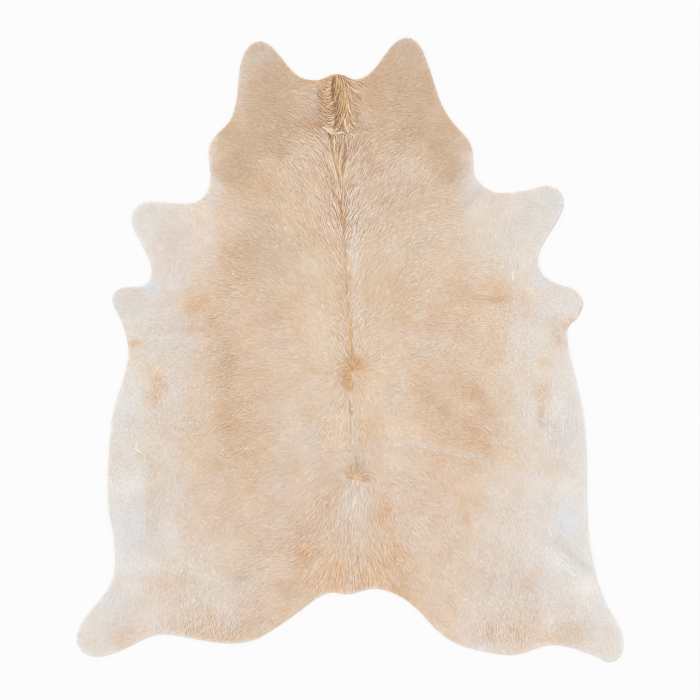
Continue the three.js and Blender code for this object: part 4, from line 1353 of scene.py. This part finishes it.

# %% [markdown]
# Elsewhere there are curls and long locks on the croup, tufts on the ribs, wrinkles and folds at the
# forelegs and stifles, whose white lines are painted highlights on their ridges, and fine white lines on
# the flanks. Most take part of their tone from the coat.

# %% Sheets of the croup, flanks and legs
SHEETS += [
    ("croup, left curls", 9, 0.6, 3.2, 1.0, 0.5, 0.5, "amber", "sand", [
        [(-6.2, -31.4), (-7.1, -31.2), (-8.2, -31.4), (-9.3, -31.9)],
        [(-6.0, -32.2), (-7.0, -32.1), (-7.9, -32.2), (-8.8, -32.9)],
        [(-7.7, -30.3), (-8.4, -30.4), (-9.2, -30.6), (-9.7, -30.9)],
    ]),
    ("croup, right curls", 18, 0.45, 3.2, 1.0, 0.5, 0.4, "amber", "sand", [
        [(7.3, -29.6), (8.2, -30.4), (9.2, -31.4), (9.9, -32.5)],
        [(5.5, -29.6), (6.6, -30.6), (7.5, -31.6), (8.4, -32.7)],
        [(3.8, -30.0), (4.9, -31.1), (6.0, -32.2), (7.0, -33.5)],
        [(3.7, -31.4), (4.6, -32.5), (5.5, -33.7), (6.4, -34.9)],
    ]),
    ("croup, long locks right", 16, 0.5, 3.4, 1.0, 0.5, 0.35, "gold", "wheat", [
        [(2.4, -33.0), (2.9, -34.6), (3.7, -36.4), (4.8, -38.0)],
        [(3.7, -33.0), (4.6, -34.6), (5.7, -36.2), (7.0, -37.5)],
        [(5.3, -33.7), (6.6, -34.9), (7.9, -36.2), (9.3, -37.7)],
    ]),
    ("croup, long locks left", 20, 0.5, 3.4, 1.0, 0.5, 0.35, "gold", "wheat", [
        [(-2.2, -32.4), (-3.1, -34.1), (-4.2, -36.1), (-5.5, -38.1)],
        [(-3.7, -32.4), (-4.9, -34.0), (-6.4, -35.7), (-8.1, -37.7)],
        [(-5.3, -32.5), (-6.8, -34.1), (-8.2, -35.7), (-9.7, -37.3)],
    ]),
    ("croup, middle", 12, 0.5, 3.2, 1.0, 0.5, 0.35, "honey", "sand", [
        [(-1.3, -32.9), (-1.5, -34.6), (-1.6, -36.2), (-2.0, -38.0)],
        [(0.4, -33.0), (0.4, -34.6), (0.5, -36.2), (0.5, -37.8)],
        [(2.0, -32.4), (2.2, -34.0), (2.6, -35.6), (2.9, -37.2)],
    ]),
    ("left ribs, tuft", 5, 0.6, 3.2, 1.0, 0.35, 0.35, "amber", "sand", [
        [(-29.3, 7.2), (-28.6, 7.7), (-27.7, 8.2), (-26.6, 8.5)],
        [(-28.9, 6.6), (-28.0, 7.1), (-26.9, 7.5), (-25.8, 7.9)],
    ]),
    ("left flank, curved tufts", 6, 0.6, 3.2, 1.0, 0.3, 0.3, "gold", "sand", [
        [(-31.7, -13.1), (-30.6, -12.8), (-29.5, -12.3), (-28.8, -11.4)],
        [(-31.1, -11.4), (-30.0, -10.9), (-28.9, -10.7), (-28.0, -10.4)],
    ]),
    ("left flank, thin lines", 4, 0.5, 2.6, 1.0, 0.1, 0.5, "oyster", "milk", [
        [(-40.8, -6.7), (-40.8, -8.3), (-40.7, -9.9), (-40.7, -11.5)],
        [(-39.2, -10.6), (-39.2, -11.9), (-39.2, -13.1), (-39.1, -14.7)],
    ]),
    ("left flank, curl", 3, 0.7, 2.8, 1.05, 0.2, 0.6, "milk", "milk", [
        [(-39.1, -14.6), (-38.6, -15.9), (-37.7, -16.2), (-38.1, -17.1)],
        [(-39.4, -14.9), (-39.0, -16.2), (-38.1, -16.5), (-38.8, -17.3)],
    ]),
    # painted highlight along the ridge of the fold
    ("left stifle, rim of the fold", 4, 0.5, 2.6, 1.0, 0.15, 0.35, "milk", "milk", [
        [(-37.6, -25.6), (-37.3, -27.7), (-37.5, -29.8), (-39.0, -32.1)],
        [(-37.9, -26.0), (-37.5, -27.9), (-37.9, -30.0), (-39.4, -32.2)],
    ]),
    ("left rump, grey lock", 5, 0.6, 3.2, 1.0, 0.2, 0.4, "ash", "cream", [
        [(-21.8, -35.3), (-20.7, -34.9), (-19.6, -34.8), (-18.3, -34.9)],
        [(-21.4, -36.5), (-20.3, -36.1), (-19.2, -35.7), (-17.9, -35.6)],
    ]),
    ("right ribs, rust line", 4, 0.5, 3.0, 1.0, 0.3, 0.4, "rust", "amber", [
        [(22.3, 8.2), (24.2, 8.4), (26.0, 8.2), (28.2, 8.3)],
        [(22.5, 7.8), (24.4, 8.0), (26.2, 7.9), (27.8, 7.9)],
    ]),
    # white lines of painted highlight on the wrinkles
    ("right foreleg, wrinkles", 8, 0.7, 2.8, 1.05, 0.35, 0.8, "oyster", "milk", [
        [(28.8, 14.7), (28.6, 14.1), (28.6, 13.5), (28.8, 12.7)],
        [(30.6, 14.7), (30.6, 14.1), (30.6, 13.5), (30.4, 12.7)],
    ]),
    ("right foreleg, curl", 3, 0.7, 2.2, 1.05, 0.3, 0.5, "milk", "milk", [
        [(29.7, 12.8), (29.7, 11.7), (30.0, 10.4), (31.1, 9.5)],
        [(29.9, 12.8), (29.9, 11.7), (30.3, 10.6), (31.3, 9.6)],
    ]),
    # white lines of painted highlight on the folds
    ("right armpit, folds", 9, 0.7, 2.8, 1.05, 0.35, 0.8, "pearl", "milk", [
        [(32.4, 11.1), (33.0, 10.6), (33.5, 9.9), (33.9, 9.1)],
        [(34.1, 11.9), (34.2, 11.1), (34.4, 10.4), (34.4, 9.6)],
    ]),
    ("right elbow, fine lines", 9, 0.6, 2.2, 1.0, 0.35, 0.5, "sand", "oyster", [
        [(36.8, 4.0), (36.8, 3.0), (37.0, 2.1), (37.2, 1.1)],
        [(39.4, 4.3), (39.2, 3.4), (39.0, 2.2), (38.8, 1.1)],
    ]),
    ("right flank, white hair", 30, 0.35, 2.2, 1.0, 0.2, 0.3, "oyster", "milk", [
        [(36.3, -4.8), (36.4, -8.0), (36.4, -11.2), (36.4, -15.2)],
        [(38.3, -3.8), (38.5, -7.7), (38.5, -11.2), (38.5, -15.2)],
        [(40.3, -5.6), (40.8, -8.8), (41.2, -12.0), (41.6, -16.0)],
    ]),
    ("right flank, loop", 5, 0.5, 2.2, 1.05, 0.3, 0.4, "oyster", "milk", [
        [(40.8, -12.8), (38.8, -12.8), (37.0, -13.8), (36.8, -15.5)],
        [(41.0, -13.5), (39.2, -13.3), (37.7, -14.4), (37.4, -16.2)],
    ]),
    ("right flank, white streak", 6, 0.4, 2.4, 1.0, 0.15, 0.35, "oyster", "milk", [
        [(37.2, -15.5), (38.1, -17.3), (39.4, -19.2), (40.8, -21.5)],
        [(37.9, -15.5), (39.0, -17.3), (40.3, -19.1), (41.6, -21.0)],
    ]),
    ("right flank, scar", 5, 0.5, 3.0, 1.0, 0.25, 0.6, "cream", "cream", [
        [(23.8, -12.5), (24.9, -13.1), (26.2, -14.4), (27.5, -15.7)],
        [(24.5, -11.9), (25.6, -12.7), (26.7, -13.8), (28.2, -15.2)],
    ]),
    # painted highlight along the fold
    ("right stifle, fold", 5, 0.5, 2.6, 1.05, 0.2, 0.35, "milk", "milk", [
        [(36.4, -27.1), (36.1, -28.4), (36.6, -29.6), (37.9, -30.9)],
        [(36.8, -27.1), (36.4, -28.4), (37.0, -29.5), (38.3, -30.8)],
    ]),
    # pale hair with a painted highlight beside the fold's painted shade
    ("right stifle, white band", 14, 0.35, 3.2, 1.0, 0.1, 0.35, "pearl", "milk", [
        [(35.0, -30.1), (36.4, -32.4), (38.1, -34.6), (40.3, -36.9)],
        [(36.8, -30.4), (38.3, -32.4), (40.1, -34.1), (42.9, -36.2)],
    ]),
    ("right thigh, orange streak", 4, 0.6, 3.2, 1.0, 0.3, 0.35, "amber", "straw", [
        [(28.4, -36.2), (28.4, -37.3), (28.6, -38.5), (28.9, -39.6)],
        [(29.3, -36.2), (29.3, -37.3), (29.5, -38.5), (29.7, -39.6)],
    ]),
]
print(f"{len(SHEETS)} sheets with {sum(row[1] for row in SHEETS)} strands in all")

# %% [markdown]
# Each strand of a sheet keeps its own place between two of the sheet's curves, and covers a share of
# the way at random, so roots and tips never stand in a row.

# %% Paths of the strands
STATIONS = 6  # points along a strand
steps = np.linspace(0, 1, STATIONS)


def through(four, t):
    """The smooth way through four points, at these shares of it."""
    weights = [
        -4.5 * (t - 1 / 3) * (t - 2 / 3) * (t - 1),
        13.5 * t * (t - 2 / 3) * (t - 1),
        -13.5 * t * (t - 1 / 3) * (t - 1),
        4.5 * t * (t - 1 / 3) * (t - 2 / 3),
    ]
    return np.stack(weights, 2) @ four


def sheet_paths(strands, part, curves):
    """The paths of a sheet's strands."""
    curves = np.array([[place(*point) for point in curve] for curve in curves])
    between = luck.permutation(np.linspace(0, len(curves) - 1.001, strands))
    first = between.astype(int)
    four = mix(curves[first], curves[first + 1], (between - first)[:, None, None])
    start = luck.uniform(-0.4 * part, 1 - 0.6 * part, (strands, 1))
    end = (start + part).clip(0, 1)
    start = start.clip(0, 1)
    return through(four, start + (end - start) * steps)


# %% [markdown]
# A strand is a few locks side by side that narrow towards one tip, each in a slight wave. What makes it
# stand out on a real hide is the shaded gap beside it, so every strand has a dark lock at its left,
# painted with that shade, a little lower, which closes in on it at the tip.

# %% Locks of a strand
LOCKS_TO_A_STRAND = 2
STRAND_WAVE = 0.0005  # metres to either side
WAVE_LENGTH = 0.03
NARROWED = 0.6  # by how much a strand and its gap are narrower at the tip


def strand_locks(path, width, lift, ridge, root_tone, tip_tone, locks=1):
    """The locks that keep together along each path: their points and their colours."""
    each = np.repeat(np.arange(len(path)), locks)
    line, width = path[each], width[each][:, None] / locks**0.5
    spread = luck.uniform(-0.7, 0.7, (len(each), 1)) * width * (locks - 1) * (1 - NARROWED * ease(steps))
    turns = line.sum(2) / WAVE_LENGTH + luck.uniform(-0.2, 0.2, (len(each), 1))
    line = line + beside(line) * (spread + STRAND_WAVE * np.sin(2 * np.pi * turns))[:, :, None]
    wide = width * luck.uniform(0.8, 1.2, (len(each), 1)) * (0.7 + 0.3 * np.sin(np.pi * steps))
    rise = lift[each][:, None] * (0.5 + 0.5 * ease(2 * steps)) - 0.1 * steps**2
    points = lock_points(line, wide, rise, ridge[each])
    return points, mix(root_tone[each][:, None], tip_tone[each][:, None], shares_along(points)[:, None])


def shaded_gap_locks(path, width, lift, ridge, tone):
    """The dark locks at the left of each strand, painted with the shade of the gap."""
    away = (width[:, None] * (1 - NARROWED * steps**2))[:, :, None]
    return strand_locks(path + beside(path) * away, width * 0.75, lift * 0.97, ridge, tone, tone)


def joined(made):
    """The points and the colours of several lots of locks, as two arrays."""
    return (np.concatenate(column) for column in zip(*made))


# %% The long hair
# painted shade in the gaps beside the strands of the sheets
GAP_BY_COLOUR = np.array([0.75, 1.1, 1.6])  # a deep gap is less warm than a darker tone
SHEET_SHADES = (-0.15, 0.1)  # the darkest and the palest strand, where the contrast is full
GAP_SHADES = (0.35, 0.6)  # how much darker the gaps are
SHEET_RIDGE = 0.3  # a strand's ridge as a share of its width
OVER_PARTINGS = 1.1  # a sheet that lies higher than this covers the partings

made = []
sheet_lines = []
for _, strands, part, width, lift, differ, own, root_tone, tip_tone, curves in SHEETS:
    path = sheet_paths(strands, part, curves)
    sheet_lines.append(path)
    under = coat_tone(path[:, 0])
    strand_shade = (1 + differ * luck.uniform(*SHEET_SHADES, (strands, 1))) ** SHADE_BY_COLOUR
    gap_shade = (1 - differ * luck.uniform(*GAP_SHADES, (strands, 1))) ** GAP_BY_COLOUR
    root_tone, tip_tone = (mix(under, tones[tone], own) * strand_shade for tone in (root_tone, tip_tone))
    width = np.full(strands, width / 1000)
    lifts = lift * luck.uniform(0.85, 1.15, strands)
    ridge = np.full(strands, SHEET_RIDGE * differ)
    points, colours = joined([
        strand_locks(path, width, lifts, ridge, root_tone, tip_tone, LOCKS_TO_A_STRAND),
        shaded_gap_locks(path, width, lifts, ridge, root_tone * gap_shade),
    ])
    if lift <= OVER_PARTINGS:
        colours = shade_partings(points[:, :, :2], colours)
    made.append((points, colours))
points, colours = joined(made)
make_coat_piece("tufts_set_by_hand", points, colours, hair_material)

# %% [markdown]
# Where the contrast is high, as on the neck, the withers and the croup, paler strands lie over the short
# coat, with painted shade, darker hair, in the gaps between them. Combed hair keeps an even distance, so
# the strands are laid one after another, each only where there is still room, on a net of small cells in
# which the laid ones are marked. The strands of the sheets are marked first.

# %% Strands over the short coat
STRAND_TRIES = 400000
STRAND_GAP = 0.0038  # size of a cell; two strands are one to two cells apart
NET_SIZE = 3  # metres each way, which is more than the rug needs
STRAND_LENGTH = 1.65  # as a share of the guide hairs
STRAND_TURN = 11  # degrees, less where the contrast is high
START_MARGIN, END_MARGIN = 0.004, 0.002  # strands keep this far from the cut edge

net_start = np.array([chart_x[0], chart_y[0]])
laid = np.zeros((int(NET_SIZE / STRAND_GAP), int(NET_SIZE / STRAND_GAP)), bool)


def cells_along(path):
    """The net's cells that each path runs through, as rows and columns."""
    between = np.linspace(0, 1, 4)[:, None]
    fine = mix(path[:, :-1, None], path[:, 1:, None], between)
    cells = ((fine.reshape(len(path), -1, 2) - net_start) / STRAND_GAP).astype(int)
    return cells[:, :, 1], cells[:, :, 0]


def follow(start, length):
    """Paths that follow the lie of the hair from these points, each turned a little."""
    turn = np.radians(STRAND_TURN) * luck.normal(0, 1, (len(start), 1))
    turn *= (1.2 - 0.45 * read_chart(contrast_chart, start)[:, None]).clip(0.4, 1)
    path = [start]
    while len(path) < STATIONS:
        path.append(path[-1] + turned(lie(path[-1]), turn) * length[:, None] / (STATIONS - 1))
    return np.stack(path, 1)


for path in sheet_lines:
    row, column = cells_along(path)
    laid[row, column] = True
starts = np.stack([
    luck.uniform(cad_low.x, cad_high.x, STRAND_TRIES),
    luck.uniform(cad_low.y, cad_high.y, STRAND_TRIES),
], 1)
chance = strand_share(read_chart(contrast_chart, starts)) * (1 - parting_share(starts))
lucky = luck.uniform(0, 1, len(starts)) < chance
starts = starts[(read_chart(gap_chart, starts) > START_MARGIN) & lucky]
length = STRAND_LENGTH * read_chart(length_chart, starts) * luck.uniform(0.7, 1.1, len(starts))
paths = follow(starts, length)
paths = paths[read_chart(gap_chart, paths[:, -1]) > END_MARGIN]
rows_along, columns_along = cells_along(paths[:, : STATIONS // 2 + 1])
chosen = []
for index, (row, column) in enumerate(zip(rows_along, columns_along)):
    if not laid[row, column].any():
        chosen.append(index)
        laid[row, column] = True
        laid[row, column + 1] = True
paths = paths[chosen]
print(f"{len(paths)} strands of {len(starts)} tries found room")

# %% [markdown]
# The laid strands are a little paler than the coat below them, partly as a painted highlight, and their
# gaps much darker with painted shade, the more so the higher the contrast is. They lie in more light than
# the short coat, which their shade takes back.
# They make two pieces, on the neck and on the back.

# %% Tone of the laid strands
STRAND_WIDTH = 0.0034
# a painted highlight on the strands and painted shade in their gaps
PALER, DARKER = 0.06, 0.37  # the strands and their gaps, where the contrast is full
CALM_BELOW, FULL_SPAN = 0.3, 1.2  # below this contrast none of that shows, and this much above it, all
STRANDS_SHADE = np.array([0.95, 0.915, 0.88])
ROOT_SHADE = 0.95
FLAT_RIDGE = 0.05
STEEPER = 0.09  # ridges where the contrast is full

differ = read_chart(contrast_chart, paths[:, 0])[:, None]
strand_tone = coat_tone(paths[:, 0] + luck.normal(0, TONE_STRAY, (len(paths), 2))) * STRANDS_SHADE
differ = differ * ease((differ - CALM_BELOW) / FULL_SPAN)
pale_tone = strand_tone * (1 + PALER * differ * luck.uniform(0, 2, differ.shape)) ** SHADE_BY_COLOUR
gap_shade_tone = strand_tone * (1 - DARKER * differ * luck.uniform(0.6, 1.2, differ.shape)) ** SHADE_BY_COLOUR
width = STRAND_WIDTH * luck.uniform(0.8, 1.2, len(paths))
lift = luck.uniform(0.9, 1.1, len(paths))
ridge = FLAT_RIDGE + STEEPER * differ[:, 0]
points, colours = joined([
    strand_locks(paths, width, lift, ridge, pale_tone * ROOT_SHADE, pale_tone),
    shaded_gap_locks(paths, width, lift, ridge, gap_shade_tone),
])
colours = shade_partings(points[:, :, :2], colours)
on_neck = points[:, 0, 1] > NECK_ENDS
for name, part in (("strands_on_the_neck", on_neck), ("strands_on_the_back", ~on_neck)):
    make_coat_piece(name, points[part], colours[part], hair_material)

# %% [markdown]
# The leather under the coat. Its upper face only shows between the locks, so it has the coat's own
# tones, darker with painted shade, as the roots there lie in the shade of the locks. Its underside is
# suede: the flesh side, sanded, pale and faintly fibrous.
# The sheet was cut from a piece as long and as wide as the rug, and its area leaves out the hollows.

# %% Leather's tone
# painted shade between the locks, none at the cut edge
UNDERCOAT_PAINTED_SHADE = 0.3  # where the contrast is full
RIM = 0.03  # at the cut edge it isn't darker, and from this far in it is

verts = np.zeros(len(sheet_data.vertices) * 3, np.float32)
sheet_data.vertices.foreach_get("co", verts)
verts = verts.reshape(-1, 3)[:, :2].astype(float)
inwards = ease(read_chart(gap_chart, verts) / RIM)
ground_shade = 1 - UNDERCOAT_PAINTED_SHADE * inwards * read_chart(contrast_chart, verts).clip(0, 1)
ground = shade_partings(verts, deep_tone(verts)) * ground_shade[:, None] ** SHADE_BY_COLOUR
set_coat_colours(sheet_data, ground)
print(f"the leather's tone is darkened to {ground_shade.min():.2f} at most")

# %% Leather materials
undercoat, tree, shader = new_material("undercoat", Roughness=0.8)
spots = add_node(tree, "TexCoord")
grain = add_node(tree, "TexNoise", Scale=260)
wire(tree, (spots, "Object", grain, "Vector"))
colour_by_coat(tree, shader, grain, To_Min=0.85, To_Max=1.15)

suede, tree, shader = new_material("suede_underside", Roughness=0.92)
spots = add_node(tree, "TexCoord")
nap = add_node(tree, "TexNoise", Scale=420, Detail=6)
clouds = add_node(tree, "TexNoise", Scale=5, Detail=4)
both = add_node(tree, "Math")
both.operation = "MULTIPLY_ADD"
both.inputs[1].default_value = 0.35  # the nap counts for this much beside the clouds
ramp = add_node(tree, "ValToRGB")
for stop, position, tone in zip(ramp.color_ramp.elements, (0.45, 0.9), ((206, 190, 168), (232, 221, 204))):
    stop.position = position
    stop.color = (*linear(*tone), 1)
relief = add_node(tree, "Bump", Strength=0.4, Distance=0.0006)
wire(
    tree,
    (spots, "Object", nap, "Vector"),
    (spots, "Object", clouds, "Vector"),
    (nap, "Fac", both, 0),
    (clouds, "Fac", both, 2),
    (both, "Value", ramp, "Fac"),
    (ramp, "Color", shader, "Base Color"),
    (nap, "Fac", relief, "Height"),
    (relief, "Normal", shader, "Normal"),
)

for material in (undercoat, suede):
    sheet_data.materials.append(material)
for face in sheet_data.polygons:
    face.material_index = 0 if face.normal.z > HAIR_SIDE_SLOPE else 1
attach(sheet, "root")
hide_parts("hide")
print(sum(face.material_index for face in sheet_data.polygons), "of the sheet's triangles are suede")

# %% [markdown]
# The stage: a pale floor that runs to the horizon, a soft world light from all around, and one broad
# light from beyond the head, as even over the whole rug as a row of studio lamps. It comes in
# at a slant, which gives the locks their bright and dark flanks.

# %% Floor and light
FLOOR_SIZE = 60  # metres from its middle to its edges
FLOOR_GAP = 0.0005  # keeps the floor from touching the underside
KEY_FROM = Vector((-0.35, 1.0, 1.25))  # where the light comes from

floor_data = bpy.data.meshes.new("floor")
net = bmesh.new()
bmesh.ops.create_grid(net, x_segments=1, y_segments=1, size=FLOOR_SIZE)
bmesh.ops.translate(net, verts=net.verts, vec=(0, 0, -FLOOR_GAP))
net.to_mesh(floor_data)
net.free()
floor = add_object("floor", floor_data)
floor_material, _, _ = new_material("pale_floor", Base_Color=(0.85, 0.85, 0.85, 1), Roughness=0.9)
floor_data.materials.append(floor_material)

world = bpy.data.worlds.new("studio")
world.use_nodes = True
set_inputs(world.node_tree.nodes["Background"], Color=(1, 1, 1, 1), Strength=0.9)
bpy.context.scene.world = world
bpy.context.scene.view_settings.view_transform = "Standard"

key_data = bpy.data.lights.new("key", "SUN")
key_data.angle = math.radians(30)
key_data.energy = 1.0
key = add_object("key", key_data)
key.rotation_mode = "QUATERNION"
key.rotation_quaternion = KEY_FROM.to_track_quat("Z", "Y")
print("one key light, and an even light from all around")
